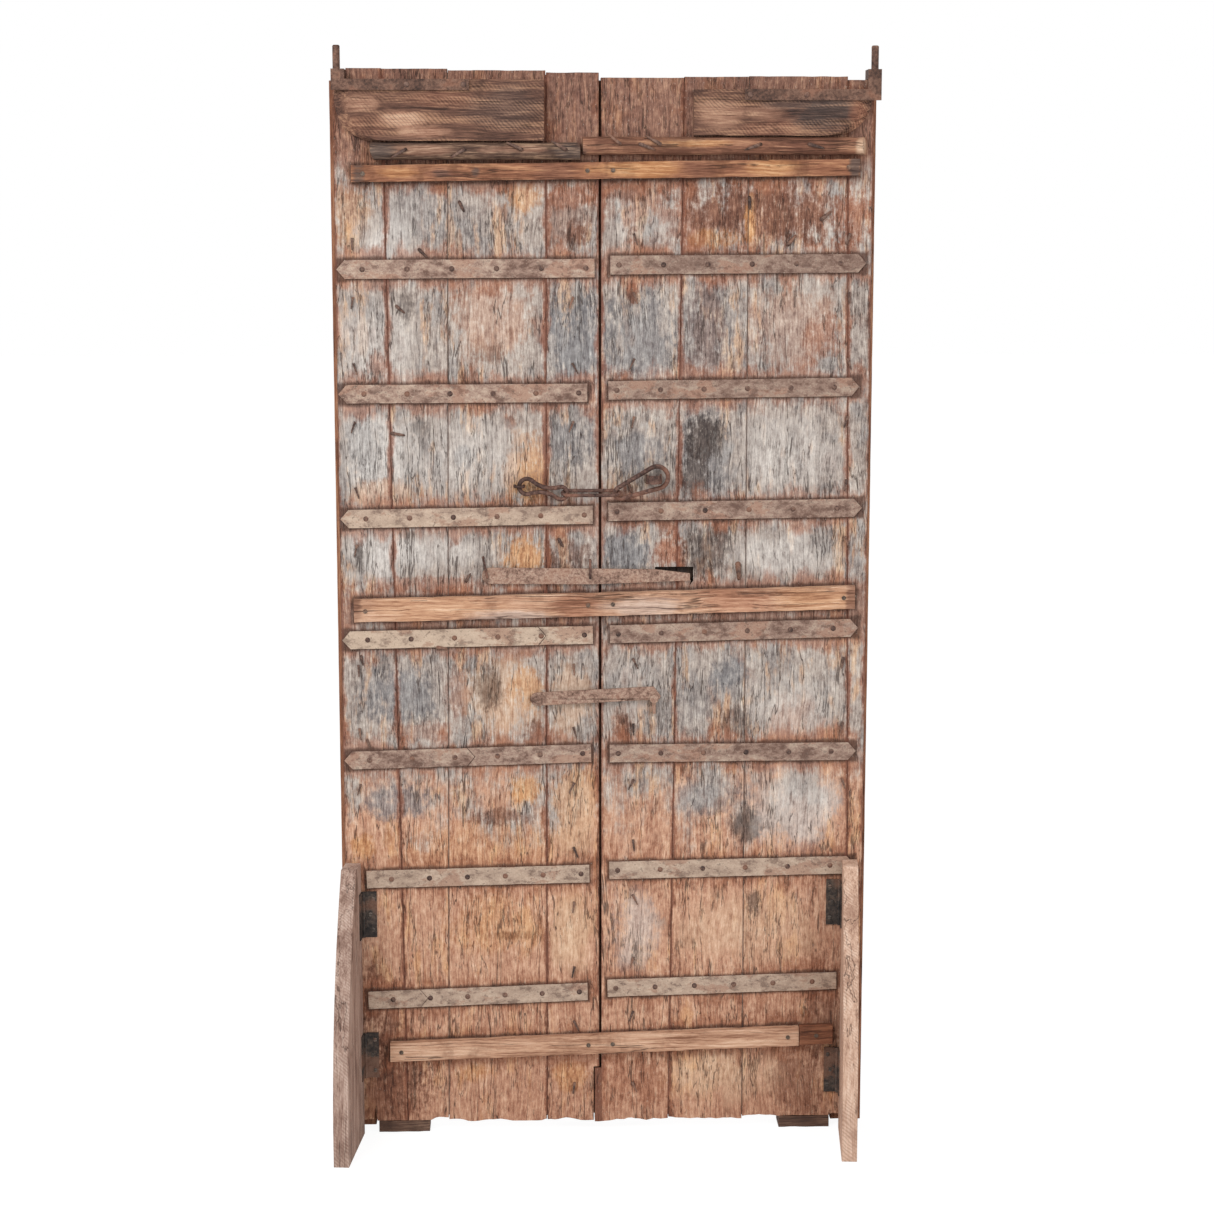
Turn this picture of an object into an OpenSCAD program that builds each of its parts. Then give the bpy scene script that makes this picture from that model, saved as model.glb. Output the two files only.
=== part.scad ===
// Old double-leaf plank door, rear side towards -Y, held by battens and standing on two hinged boards.
// Millimetres, +Z up, origin on the floor under the middle of the door.

/* [Leaves] */
// Width over both leaves, measured on the front stiles
door_w = 1120; // [1060:1:1240]
// Height of the planks
plank_h = 2212; // [2160:1:2400]
// Thickness of the planks
plank_t = 30; // [22:1:45]
// Gap between neighbouring planks
plank_gap = 1; // [0.5:0.1:2]
// Gap between the two leaves
leaf_gap = 4; // [2:0.5:8]
// Place of the meeting line, left of the door's middle
meeting_shift = 9; // [0:1:20]
// Widths of the left leaf's first three planks at the foot, from the outer edge
left_plank_w = [127, 88, 212]; // [60:1:260]
// Widths of the right leaf's first three planks at the foot, from the meeting line
right_plank_w = [145, 160, 229]; // [60:1:260]
// Height of the lip at the right leaf's foot that closes the gap
lip_h = 122; // [60:1:180]
// Width of that lip
lip_w = 14; // [8:1:20]

/* [Front] */
// Thickness of the front stiles
stile_t = 25; // [15:1:35]
// Width of the outer front stiles
outer_stile_w = 66; // [50:1:90]
// Width of the front stiles beside the meeting line
meeting_stile_w = 70; // [50:1:90]
// How far the outer front stiles stand out past the planks
stile_reveal = 9; // [4:1:15]
// Height of the outer front stiles' feet above the floor
stile_foot_z = 6; // [2:1:20]
// Width of the cover strip over the meeting gap
cover_w = 54; // [30:1:80]
// Thickness of the cover strip
cover_t = 14; // [8:1:20]

/* [Top cleats and bars] */
// Thickness of the top cleats
cleat_t = 22; // [16:1:30]
// Radius of a cleat's lower outer corner
cleat_corner_r = 80; // [40:1:85]
// Width of the chamfer round that corner
cleat_chamfer = 30; // [15:1:40]
// Height of the left cleat
left_cleat_h = 123; // [100:1:140]
// Length of the left cleat
left_cleat_len = 424; // [340:1:480]
// Height of the right cleat
right_cleat_h = 93; // [90:1:110]
// Length of the right cleat
right_cleat_len = 366; // [340:1:460]
// Radius of the rounded top bars
bar_r = 19; // [14:0.5:24]
// Length of the left top bar
left_bar_len = 427; // [360:1:450]
// Length of the right top bar
right_bar_len = 583; // [560:1:590]

/* [Pivots] */
// Radius of a pivot pin
pivot_r = 7.5; // [5:0.5:9]
// Length of a pivot pin
pivot_len = 49; // [30:1:80]
// Length of a pivot iron's strap
pivot_strap_len = 278; // [200:1:320]
// Width of a pivot iron's strap
pivot_strap_w = 22; // [15:1:30]
// Thickness of a pivot iron's strap
pivot_strap_t = 5; // [3:0.5:8]

/* [Straps] */
// Height of the iron straps
strap_h = 39; // [30:1:50]
// Thickness of the iron straps
strap_t = 3; // [2:0.5:4]
// Length of a strap's pointed end
strap_tip = 17; // [8:1:25]
// Distance from one strap to the next
strap_pitch = 256.5; // [250:0.5:262]
// Height of the left leaf's lowest strap
left_strap_z = 311; // [300:1:330]
// Height of the right leaf's lowest strap
right_strap_z = 320; // [310:1:335]

/* [Battens] */
// Height of the top batten
top_batten_h = 35; // [25:1:45]
// Height of the middle batten
middle_batten_h = 49; // [35:1:54]
// Height of the bottom batten
bottom_batten_h = 42; // [30:1:50]
// Thickness of the battens
batten_t = 21; // [15:1:28]
// Height of the middle batten's centre above the floor
middle_batten_z = 1155; // [1150:1:1160]
// Height of the bottom batten's centre above the floor
bottom_batten_z = 199; // [190:1:205]
// Length of the block at the bottom batten's right end
block_len = 72; // [40:1:76]

/* [Stands] */
// Height of the stand boards
stand_h = 600; // [570:1:680]
// Thickness of the stand boards
stand_t = 32; // [22:1:36]
// Reach of the stand boards from the planks, at the floor
stand_reach = 206; // [180:1:260]
// Radius of the stand boards' curved front edge
stand_arc_r = 1136; // [1000:1:1600]
// How far the left stand leans out from square, in degrees
left_toe_out = 6; // [0:0.5:6]
// How far the right stand leans in from square, in degrees
right_toe_in = 5; // [3:0.5:8]
// Height of the foot blocks
foot_h = 26; // [18:1:40]
// Width of the foot blocks
foot_w = 110; // [60:1:120]

/* [Hinges] */
// Height of a butt hinge
hinge_h = 100; // [76:1:110]
// Width of a hinge leaf from its pin
hinge_leaf_w = 28; // [18:1:34]
// Thickness of a hinge leaf
hinge_t = 2.5; // [1.5:0.5:3]
// Outer radius of a hinge knuckle
knuckle_r = 4; // [3.5:0.1:4.5]
// Radius of a hinge pin
hinge_pin_r = 2.5; // [2:0.1:2.8]

/* [Chain hasp] */
// Height of the chain's staple above the floor
chain_z = 1403; // [1398:1:1410]
// Radius of the eye link's rod
eye_rod_r = 4.5; // [3.5:0.1:4.6]
// Radius of the long link's rod
long_rod_r = 3.75; // [3:0.05:3.8]
// Radius of the ring's rod
ring_rod_r = 4.75; // [3.5:0.05:4.8]
// Distance of the chain from the planks
chain_out = 17; // [17:0.5:18]

/* [Latches] */
// Height of the upper latch's pivot above the floor
upper_latch_z = 1212; // [1210:1:1220]
// Length of the upper latch bar from its pivot
upper_latch_len = 424; // [400:1:460]
// Height of the lower latch's rivet above the floor
lower_latch_z = 953; // [948:1:960]
// Length of the lower latch bar from its rivet to the catch
lower_latch_len = 244; // [225:1:250]
// Thickness of the latch bars
latch_t = 6; // [4:0.5:6.5]

/* [Hidden] */
$fn = 48;

// Clearances: wood beside wood, a pin that turns in a hole, and free iron beside iron
wood_gap = 1;
turning_gap = 0.05;
iron_gap = 1;
seat_gap = 0.3;
// Forge-welded rods: how far a bend runs into the next length, which is a touch thicker
weld_run = 0.4;
weld_grow = 0.06;

// Leaf edges on the rear face
left_edge = -door_w / 2 + stile_reveal;
right_edge = door_w / 2 - stile_reveal;
left_meet = -meeting_shift - leaf_gap / 2;
right_meet = -meeting_shift + leaf_gap / 2;
head_z = foot_h + plank_h;

// Hand-sawn planks: how far each joint leans by the head, and each plank's head and foot
left_joint_lean = [-28, 18, 5];
right_joint_lean = [25, -3, -30];
left_head_rise = [15, 14, 11, 7];
right_head_rise = [-3, -1, 0, -7];
left_foot_drop = [0, 0, 4, 6];
right_foot_drop = [8, 5, 0, 2];
// Split in the left outer plank's foot: place from the edge, width, height
split = [57, 8, 26];

// Front stiles
stile_front_y = plank_t + stile_t;
left_outer_stile_x = -door_w / 2;
right_outer_stile_x = door_w / 2 - outer_stile_w;
left_meeting_stile_x = -meeting_shift + 7 - cover_w / 2 - wood_gap - meeting_stile_w;
right_meeting_stile_x = -meeting_shift + 7 + cover_w / 2 + wood_gap;
cover_x = -meeting_shift + 7 - cover_w / 2;

// Cleats, bars and pivots are set out from the planks' heads
left_cleat_top = head_z - 8;
right_cleat_top = head_z - 27;
left_cleat_z = left_cleat_top - left_cleat_h;
right_cleat_z = right_cleat_top - right_cleat_h;
cleat_inset = 4;
bar_out = 9;
left_bar_x = left_meet - 38 - left_bar_len;
right_bar_x = left_meet - 34;
left_bar_z = left_cleat_z - bar_r - wood_gap;
right_bar_z = right_cleat_z - bar_r - wood_gap;
pivot_y = 12;
pivot_base_h = 20;
pivot_base_in = 18;
pivot_base_out = 9;
left_pivot_x = left_edge + 8;
right_pivot_x = right_edge + 2;
left_seat_z = left_cleat_top;
right_seat_z = head_z + right_head_rise[3];

// Straps, numbered from the top: nailed by eye, so each has its own shift, lean and ends
left_strap_shift = [0, 1, 1, 3, 4, 0, -7];
right_strap_shift = [0, 1, 5, 5, 1, 6, 4];
left_strap_lean = [0.3, 0.2, 0.8, 1.0, 1.4, 1.1, 1.8];
right_strap_lean = [0.4, 0.7, 0.7, 1.2, 0.2, 0.9, 1.4];
left_strap_meet_gap = [9, 24, 13, 13, 17, 21, 25];
right_strap_meet_gap = [19, 15, 15, 18, 18, 17, 13];
right_strap_edge_gap = [11, 21, 12, 16, 17, 16, 0];
// Straps made of two lengths: distance of the lap from the inner end, 0 for none
left_strap_lap = [0, 0, 0, 98, 245, 0, 342];
lap_slot = 1.2;
strap_count = 7;
function strap_height(low, shift, i) = low + (strap_count - 1 - i) * strap_pitch + shift[i];
function left_height(i) = strap_height(left_strap_z, left_strap_shift, i);
function right_height(i) = strap_height(right_strap_z, right_strap_shift, i);

// Nails: heads along the straps, and pairs above and below each strap through the stiles
strap_nail_count = 6;
strap_nail_margin = 18;
strap_nail_r = 5.5;
strap_nail_h = 2.2;
clench_off = 60;
clench_len = 22;
clench_w = 5.5;
clench_t = 4;
head_r = 9;
head_h = 5;
left_outer_nail_x = left_outer_stile_x + 44;
right_outer_nail_x = right_outer_stile_x + 11;
left_meeting_nail_x = left_meeting_stile_x + meeting_stile_w / 2;
right_meeting_nail_x = right_meeting_stile_x + meeting_stile_w / 2;
low_nail_z = 105;
// Strap numbers and sides that the nails stand at, where no batten, chain or hinge is in the way
meeting_nail_spots = [[0, 1], [0, -1], [1, 1], [1, -1], [3, -1], [4, 1], [4, -1], [5, 1], [5, -1], [6, 1], [6, -1]];
outer_nail_spots = [[0, 1], [0, -1], [1, 1], [1, -1], [2, 1], [2, -1], [3, -1], [4, 1], [4, -1]];

// Battens: ends and lean in degrees
top_batten_z = left_bar_z - bar_r - top_batten_h / 2 - 2 * wood_gap;
top_batten_ends = [left_edge + 36, right_edge - 29];
top_batten_lean = 0.77;
middle_batten_ends = [left_edge + 28, right_edge - 26];
middle_batten_lean = 1.31;
bottom_batten_ends = [left_edge + 91, right_edge - 133];
bottom_batten_lean = 1.7;
screw_r = 4.5;
screw_h = 1.2;
screw_inset = 24;

// Stands and hinges: the axis stands in the corner between planks and board
knuckle_off = knuckle_r + 0.6;
hinge_bore_r = hinge_pin_r + turning_gap;
knuckle_count = 5;
knuckle_gap = 0.4;
stand_gap = knuckle_off + 0.4;
stand_arc_z = 50;
left_axis_x = left_edge + 38;
right_axis_x = right_edge - 48;
left_hinge_z = [487, 175];
right_hinge_z = [505, 131];
left_foot_x = left_edge + 64;
right_foot_x = right_edge - 63 - foot_w;

// Straps beside the stands stop short of the hinge axis
left_low_strap_gap = left_axis_x + knuckle_r + 3 - left_edge;
right_low_strap_gap = right_edge - right_axis_x + 3;

// Chain: eye link, long link and ring, each hung on the one before
eye_big_r = 16;
eye_small_r = 13;
eye_pitch = 71.4;
eye_lean = -11.3;
eye_pinch_r = 60;
long_bend_r = 11.2;
long_roll = 20;
long_pitch = 99.5;
ring_small_r = 12;
ring_big_r = 23;
ring_pitch = 81.6;
ring_lean = 23;
chain_staple_x = left_meet - 166;
staple_rod_r = 3;
staple_half = eye_rod_r + staple_rod_r + 2 * iron_gap;
staple_leg = chain_out - iron_gap;
eye_big = [chain_staple_x + eye_big_r, chain_z];
eye_small = eye_big + eye_pitch * [cos(eye_lean), sin(eye_lean)];
eye_end = eye_small + [eye_small_r, 0];
ring_start = eye_end + [long_pitch, 0];
ring_small = ring_start + [ring_small_r, 0];
ring_big = ring_small + ring_pitch * [cos(ring_lean), sin(ring_lean)];
hasp_span = 33;
hasp_w = 18;
hasp_t = 3.5;
hasp_leg = 20;
hasp_at = ring_big + [-6.5, -4];

// Upper latch: bar on a wire staple, its tongue resting in a mortise
upper_latch_x = left_meet - 234;
upper_latch_out = 2;
wire_r = 2.6;
wire_out = upper_latch_out + latch_t + wire_r + 2 * iron_gap;
upper_staple_top = [-8, 41];
hook_at = [215, 34];
hook_drop = 38;
tongue_w = 18;
tongue_h = 7;
tongue_deep = 10;
tongue_low = -9;
mortise_deep = 15;
mortise_h = 28;
mortise_len = 80;
mortise_x = upper_latch_x + upper_latch_len + 7 - mortise_len;
mortise_z = upper_latch_z + tongue_low - seat_gap;

// Lower latch: bar on a rivet, notched over a catch
lower_latch_x = left_meet - 129;
lower_latch_out = 6;
lower_latch_lean = 2.7;
lower_latch_half = 14;
rivet_r = 4;
rivet_head_r = 8;
rivet_head_h = 3;
catch_r = 5.5;
catch_head_r = 9;
catch_head_h = 4;
catch_drop = 11.5;
notch_r = catch_r + 0.9;
catch_x = lower_latch_x + lower_latch_len * cos(lower_latch_lean) + catch_drop * sin(lower_latch_lean);
catch_z = lower_latch_z + lower_latch_len * sin(lower_latch_lean) - catch_drop * cos(lower_latch_lean);

// The rear face of the planks is placed so that the door's depth is centred on the origin
rear_reach = knuckle_off + (stand_reach - knuckle_off) * cos(right_toe_in) + (knuckle_off + stand_t) * sin(right_toe_in);
front_reach = stile_front_y + head_h;
face_y = (rear_reach - front_reach) / 2;

module on_door() {
    translate([0, face_y, 0]) children();
}

// An outline in the plane of the door, raised from the rear face towards the viewer
module raised(t, lift = 0) {
    translate([0, -lift, 0]) rotate([90, 0, 0]) linear_extrude(t) children();
}

// An outline in the plane of the door, behind the rear face
module set_back(t, depth = 0) {
    translate([0, t + depth, 0]) rotate([90, 0, 0]) linear_extrude(t) children();
}

// A round rod bent along an arc in the plane of the door, run on at both ends to enter its neighbour
module rod_arc(centre, bend_r, from, to, r, run_on = 0) {
    more = run_on / bend_r * 180 / PI;
    translate([centre[0], 0, centre[1]])
        rotate([90, 0, 0])
            rotate([0, 0, from - more])
                rotate_extrude(angle = to - from + 2 * more, $fn = 96)
                    translate([bend_r, 0])
                        circle(r = r);
}

// A straight round rod between two points in the plane of the door
module rod(from, to, r) {
    run = to - from;
    translate([from[0], 0, from[1]])
        rotate([0, 90 - atan2(run[1], run[0]), 0])
            cylinder(h = norm(run), r = r);
}

// A round peg square to the door, from the rear face outwards
module peg(at, r, h, lift = 0) {
    translate([at[0], -lift, at[1]]) rotate([90, 0, 0]) cylinder(h = h, r = r);
}

// Planks
function sum_to(list, n) = n == 0 ? 0 : list[n - 1] + sum_to(list, n - 1);
function left_joint(n) = left_edge + sum_to(left_plank_w, n);
function right_joint(n) = right_meet + sum_to(right_plank_w, n);
function left_lean(n) = n == 0 || n == 4 ? 0 : left_joint_lean[n - 1];
function right_lean(n) = n == 0 || n == 4 ? 0 : right_joint_lean[n - 1];

module plank_outline(x0, x1, lean0, lean1, foot, head) {
    polygon([[x0, foot], [x1, foot], [x1 + lean1, head], [x0 + lean0, head]]);
}

module left_plank(n) {
    x0 = n == 0 ? left_edge : left_joint(n) + plank_gap / 2;
    x1 = n == 3 ? left_meet : left_joint(n + 1) - plank_gap / 2;
    foot = foot_h - left_foot_drop[n];
    color("tan") on_door() set_back(plank_t)
        plank_outline(x0, x1, left_lean(n), left_lean(n + 1), foot, head_z + left_head_rise[n]);
}

module right_plank(n) {
    x0 = n == 0 ? right_meet : right_joint(n) + plank_gap / 2;
    x1 = n == 3 ? right_edge : right_joint(n + 1) - plank_gap / 2;
    foot = foot_h - right_foot_drop[n];
    color("tan") on_door() set_back(plank_t)
        plank_outline(x0, x1, right_lean(n), right_lean(n + 1), foot, head_z + right_head_rise[n]);
}

// The split in the foot of the left outer plank
module split_cut() {
    x = left_edge + split[0];
    set_back(plank_t)
        polygon([[x - split[1] / 2, foot_h - wood_gap], [x + split[1] / 2, foot_h - wood_gap], [x, foot_h + split[2]]]);
}

// The seat cut for the left pivot iron's base
module seat_cut() {
    reach = left_pivot_x + pivot_base_in + wood_gap - left_edge;
    translate([left_edge - wood_gap, -wood_gap, left_seat_z])
        cube([reach + wood_gap, plank_t + 2 * wood_gap, head_z]);
}

// The pocket that the upper latch's tongue drops into
module mortise_cut() {
    color("tan") on_door()
        translate([mortise_x, -wood_gap, mortise_z])
            cube([mortise_len, mortise_deep + wood_gap, mortise_h]);
}

module lip_outline(grow) {
    foot = foot_h - right_foot_drop[0];
    translate([right_meet - lip_w - grow, foot - grow])
        square([lip_w + grow, lip_h + 2 * grow]);
}

module left_plank_outer() {
    color("tan") difference() {
        left_plank(0);
        on_door() split_cut();
        on_door() seat_cut();
    }
}

module left_plank_second() {
    left_plank(1);
}

module left_plank_third() {
    left_plank(2);
}

module left_plank_meeting() {
    color("tan") difference() {
        left_plank(3);
        on_door() translate([0, wood_gap, 0]) set_back(plank_t, -2 * wood_gap) lip_outline(2 * plank_gap);
        on_door() set_back(plank_t, wood_gap) lip_outline(2 * plank_gap);
    }
}

module right_plank_meeting() {
    color("tan") difference() {
        union() {
            right_plank(0);
            on_door() set_back(plank_t) lip_outline(0);
        }
        mortise_cut();
    }
}

module right_plank_second() {
    color("tan") difference() {
        right_plank(1);
        mortise_cut();
    }
}

module right_plank_third() {
    right_plank(2);
}

module right_plank_outer() {
    right_plank(3);
}

// Front stiles and cover strip
module stile(x, w, foot, head) {
    color("peru") on_door() set_back(stile_t, plank_t)
        translate([x, foot])
            square([w, head - foot]);
}

module left_outer_stile() {
    stile(left_outer_stile_x, outer_stile_w, stile_foot_z, left_seat_z);
}

module left_meeting_stile() {
    stile(left_meeting_stile_x, meeting_stile_w, foot_h, head_z);
}

module right_meeting_stile() {
    stile(right_meeting_stile_x, meeting_stile_w, foot_h, right_seat_z);
}

module right_outer_stile() {
    stile(right_outer_stile_x, outer_stile_w, stile_foot_z, right_seat_z);
}

module cover_strip() {
    color("peru") on_door() set_back(cover_t, plank_t)
        translate([cover_x, foot_h])
            square([cover_w, right_seat_z - foot_h]);
}

// Top cleats: the rear face is smaller than the foot, which chamfers the rounded corner
module cleat_outline(w, h, corner) {
    polygon(concat(
        [for (a = [180:10:270]) [corner + corner * cos(a), corner + corner * sin(a)]],
        [[w, 0], [w, h], [0, h]]
    ));
}

module cleat(w, h) {
    hull() {
        raised(cleat_t / 2) cleat_outline(w, h, cleat_corner_r);
        raised(cleat_t)
            translate([cleat_chamfer, 0])
                cleat_outline(w - cleat_chamfer, h, cleat_corner_r - cleat_chamfer / 3);
    }
}

module left_top_cleat() {
    color("sienna") on_door()
        translate([left_edge + cleat_inset, 0, left_cleat_z])
            cleat(left_cleat_len, left_cleat_h);
}

module right_top_cleat() {
    color("sienna") on_door()
        translate([right_edge - cleat_inset, 0, right_cleat_z])
            mirror([1, 0, 0])
                cleat(right_cleat_len, right_cleat_h);
}

// Top bars: rounded poles with a flat side, both ends sawn askew
module top_bar(len, near_end, far_end) {
    difference() {
        translate([0, -bar_out, 0]) rotate([0, 90, 0]) cylinder(h = len, r = bar_r);
        translate([-len, 0, -2 * bar_r]) cube([3 * len, 2 * bar_r, 4 * bar_r]);
        rotate([0, near_end, 0]) translate([-2 * bar_r, -3 * bar_r, -3 * bar_r]) cube([2 * bar_r, 4 * bar_r, 6 * bar_r]);
        translate([len, 0, 0]) rotate([0, 0, far_end]) translate([0, -3 * bar_r, -3 * bar_r])
            cube([2 * bar_r, 4 * bar_r, 6 * bar_r]);
    }
}

module left_top_bar() {
    color("burlywood") on_door() translate([left_bar_x, 0, left_bar_z]) top_bar(left_bar_len, -20, 0);
}

module right_top_bar() {
    color("burlywood") on_door() translate([right_bar_x, 0, right_bar_z]) top_bar(right_bar_len, 0, -25);
}

// Pivot irons: a strap on the cleat, turned up and back into a base that carries the pin
module pivot_iron(seat_z, strap_top) {
    base_w = pivot_base_in + pivot_base_out;
    base_back = pivot_y + pivot_r + 4;
    strap_low = strap_top - pivot_strap_w;
    raised(pivot_strap_t, cleat_t) translate([-pivot_base_out, strap_low])
        square([pivot_strap_len, pivot_strap_w]);
    raised(pivot_strap_t, cleat_t) translate([-pivot_base_out, strap_low])
        square([base_w, seat_z + pivot_base_h - strap_low]);
    translate([-pivot_base_out, -cleat_t - pivot_strap_t, seat_z])
        cube([base_w, cleat_t + pivot_strap_t + base_back, pivot_base_h]);
    translate([0, pivot_y, seat_z + pivot_base_h]) cylinder(h = pivot_len - 2, r = pivot_r);
    translate([0, pivot_y, seat_z + pivot_base_h + pivot_len - 2]) cylinder(h = 2, r1 = pivot_r, r2 = pivot_r - 2);
}

module left_pivot_iron() {
    color("dimgray") on_door() translate([left_pivot_x, 0, 0]) pivot_iron(left_seat_z, left_cleat_top);
}

module right_pivot_iron() {
    color("dimgray") on_door() translate([right_pivot_x, 0, 0]) mirror([1, 0, 0])
        pivot_iron(right_seat_z, right_cleat_top);
}

// Straps: flat iron with a pointed outer end and a square inner end, drawn with the point at -X
module strap_outline(len, tip) {
    polygon([[-len / 2 + tip, -strap_h / 2], [len / 2, -strap_h / 2], [len / 2, strap_h / 2],
        [-len / 2 + tip, strap_h / 2], [-len / 2, 0]]);
}

// The chevron slit where a strap made of two lengths meets
module lap_cut(x) {
    reach = strap_h;
    polygon([[x, 0], [x - strap_tip, reach / 2 + 1], [x - strap_tip - lap_slot, reach / 2 + 1], [x - lap_slot, 0],
        [x - strap_tip - lap_slot, -reach / 2 - 1], [x - strap_tip, -reach / 2 - 1]]);
}

function left_strap_ends(i) = [left_edge + (i < 5 ? 2 : left_low_strap_gap), left_meet - left_strap_meet_gap[i]];
function right_strap_ends(i) =
    [right_meet + right_strap_meet_gap[i], right_edge - (i < 6 ? right_strap_edge_gap[i] : right_low_strap_gap)];

module on_strap(ends, z, lean) {
    translate([(ends[0] + ends[1]) / 2, 0, z]) rotate([0, -lean, 0]) children();
}

module left_strap(i) {
    ends = left_strap_ends(i);
    len = ends[1] - ends[0];
    color("rosybrown") on_door() on_strap(ends, left_height(i), left_strap_lean[i]) raised(strap_t)
        difference() {
            strap_outline(len, i < 5 ? strap_tip : 0);
            if (left_strap_lap[i] > 0) lap_cut(len / 2 - left_strap_lap[i]);
        }
}

module right_strap(i) {
    ends = right_strap_ends(i);
    color("rosybrown") on_door() on_strap(ends, right_height(i), right_strap_lean[i]) raised(strap_t)
        mirror([1, 0]) strap_outline(ends[1] - ends[0], i < 6 ? strap_tip : 0);
}

// Strap nails: low domed heads in a line along each strap
module nails_along(len) {
    run = len - 3 * strap_nail_margin - strap_tip;
    for (k = [0:strap_nail_count - 1])
        translate([len / 2 - strap_nail_margin - k * run / (strap_nail_count - 1), -strap_t, 0])
            rotate([90, 0, 0])
                cylinder(h = strap_nail_h, r1 = strap_nail_r, r2 = strap_nail_r / 2);
}

module strap_nails() {
    color("saddlebrown") on_door()
        for (i = [0:strap_count - 1]) {
            left_ends = left_strap_ends(i);
            right_ends = right_strap_ends(i);
            on_strap(left_ends, left_height(i), left_strap_lean[i]) nails_along(left_ends[1] - left_ends[0]);
            on_strap(right_ends, right_height(i), right_strap_lean[i])
                mirror([1, 0, 0]) nails_along(right_ends[1] - right_ends[0]);
        }
}

// Stile nails: a domed head on the front stile and the point bent over flat on the rear
module stile_nail(x, z, turn) {
    translate([x, 0, z]) rotate([0, turn, 0]) raised(clench_t)
        polygon([[-clench_w / 2, 3], [clench_w / 2, 3], [clench_w / 5, -clench_len], [-clench_w / 5, -clench_len]]);
    translate([x, stile_front_y, z]) rotate([-90, 0, 0]) cylinder(h = head_h, r1 = head_r, r2 = head_r / 2);
}

module stile_nails() {
    color("saddlebrown") on_door() {
        for (k = [0:len(meeting_nail_spots) - 1]) {
            spot = meeting_nail_spots[k];
            stile_nail(left_meeting_nail_x, left_height(spot[0]) + spot[1] * clench_off, 28 * sin(137 * k));
            stile_nail(right_meeting_nail_x, right_height(spot[0]) + spot[1] * clench_off, -28 * sin(99 * k + 40));
        }
        for (k = [0:len(outer_nail_spots) - 1]) {
            spot = outer_nail_spots[k];
            stile_nail(left_outer_nail_x, left_height(spot[0]) + spot[1] * clench_off, 20 * sin(151 * k));
            stile_nail(right_outer_nail_x, right_height(spot[0]) + spot[1] * clench_off, 20 * sin(113 * k + 70));
        }
        stile_nail(left_meeting_nail_x, low_nail_z, 8);
        stile_nail(right_meeting_nail_x, low_nail_z, -24);
    }
}

// Battens: sawn laths across both leaves, fixed a little out of level
function on_line(z, lean, x) = z + x * tan(lean);

module batten(ends, z, lean, h, t) {
    low = [on_line(z, lean, ends[0]) - h / 2, on_line(z, lean, ends[1]) - h / 2];
    raised(t) polygon([[ends[0], low[0]], [ends[1], low[1]], [ends[1], low[1] + h], [ends[0], low[0] + h]]);
}

module top_batten() {
    color("peru") on_door() batten(top_batten_ends, top_batten_z, top_batten_lean, top_batten_h, batten_t);
}

module middle_batten() {
    color("peru") on_door()
        batten(middle_batten_ends, middle_batten_z, middle_batten_lean, middle_batten_h, batten_t);
}

module bottom_batten() {
    color("peru") on_door()
        batten(bottom_batten_ends, bottom_batten_z, bottom_batten_lean, bottom_batten_h, batten_t);
}

module batten_block() {
    start = bottom_batten_ends[1] + wood_gap;
    color("sienna") on_door()
        batten([start, start + block_len], bottom_batten_z + 2, bottom_batten_lean, bottom_batten_h, batten_t + 3);
}

module batten_screw_row(ends, z, lean) {
    for (x = [ends[0] + screw_inset, left_meet - screw_inset, right_meet + screw_inset, ends[1] - screw_inset])
        peg([x, on_line(z, lean, x)], screw_r, screw_h, batten_t);
}

module batten_screws() {
    block_x = bottom_batten_ends[1] + wood_gap + block_len / 2;
    color("gray") on_door() {
        batten_screw_row(top_batten_ends, top_batten_z, top_batten_lean);
        batten_screw_row(middle_batten_ends, middle_batten_z, middle_batten_lean);
        batten_screw_row(bottom_batten_ends, bottom_batten_z, bottom_batten_lean);
        peg([block_x, on_line(bottom_batten_z + 2, bottom_batten_lean, block_x)], screw_r, screw_h, batten_t + 3);
    }
}

// Foot blocks under the planks
module foot_block(x) {
    on_door() translate([x, 0, 0]) cube([foot_w, stile_front_y, foot_h]);
}

module left_foot_block() {
    color("sienna") foot_block(left_foot_x);
}

module right_foot_block() {
    color("sienna") foot_block(right_foot_x);
}

// Stands and hinges are drawn for the left side, with the hinge axis at x = 0, y = -knuckle_off
module left_hinge(turn) {
    on_door() translate([left_axis_x, -knuckle_off, 0]) rotate([0, 0, turn]) translate([0, knuckle_off, 0]) children();
}

module right_hinge(turn) {
    on_door() translate([right_axis_x, -knuckle_off, 0]) rotate([0, 0, turn]) translate([0, knuckle_off, 0])
        mirror([1, 0, 0])
            children();
}

module stand_board() {
    translate([-knuckle_off, 0, 0]) rotate([90, 0, -90]) linear_extrude(stand_t)
        intersection() {
            translate([stand_gap, 0]) square([stand_reach, stand_h]);
            translate([stand_reach - stand_arc_r, stand_arc_z]) circle(r = stand_arc_r, $fn = 360);
        }
}

module left_stand() {
    color("tan") left_hinge(-left_toe_out) stand_board();
}

module right_stand() {
    color("tan") right_hinge(-right_toe_in) stand_board();
}

module knuckles(low, first) {
    step = hinge_h / knuckle_count;
    for (k = [first:2:knuckle_count - 1])
        translate([0, -knuckle_off, low + k * step + knuckle_gap / 2]) cylinder(h = step - knuckle_gap, r = knuckle_r);
}

module bore(low) {
    translate([0, -knuckle_off, low - 1]) cylinder(h = hinge_h + 2, r = hinge_bore_r);
}

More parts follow.
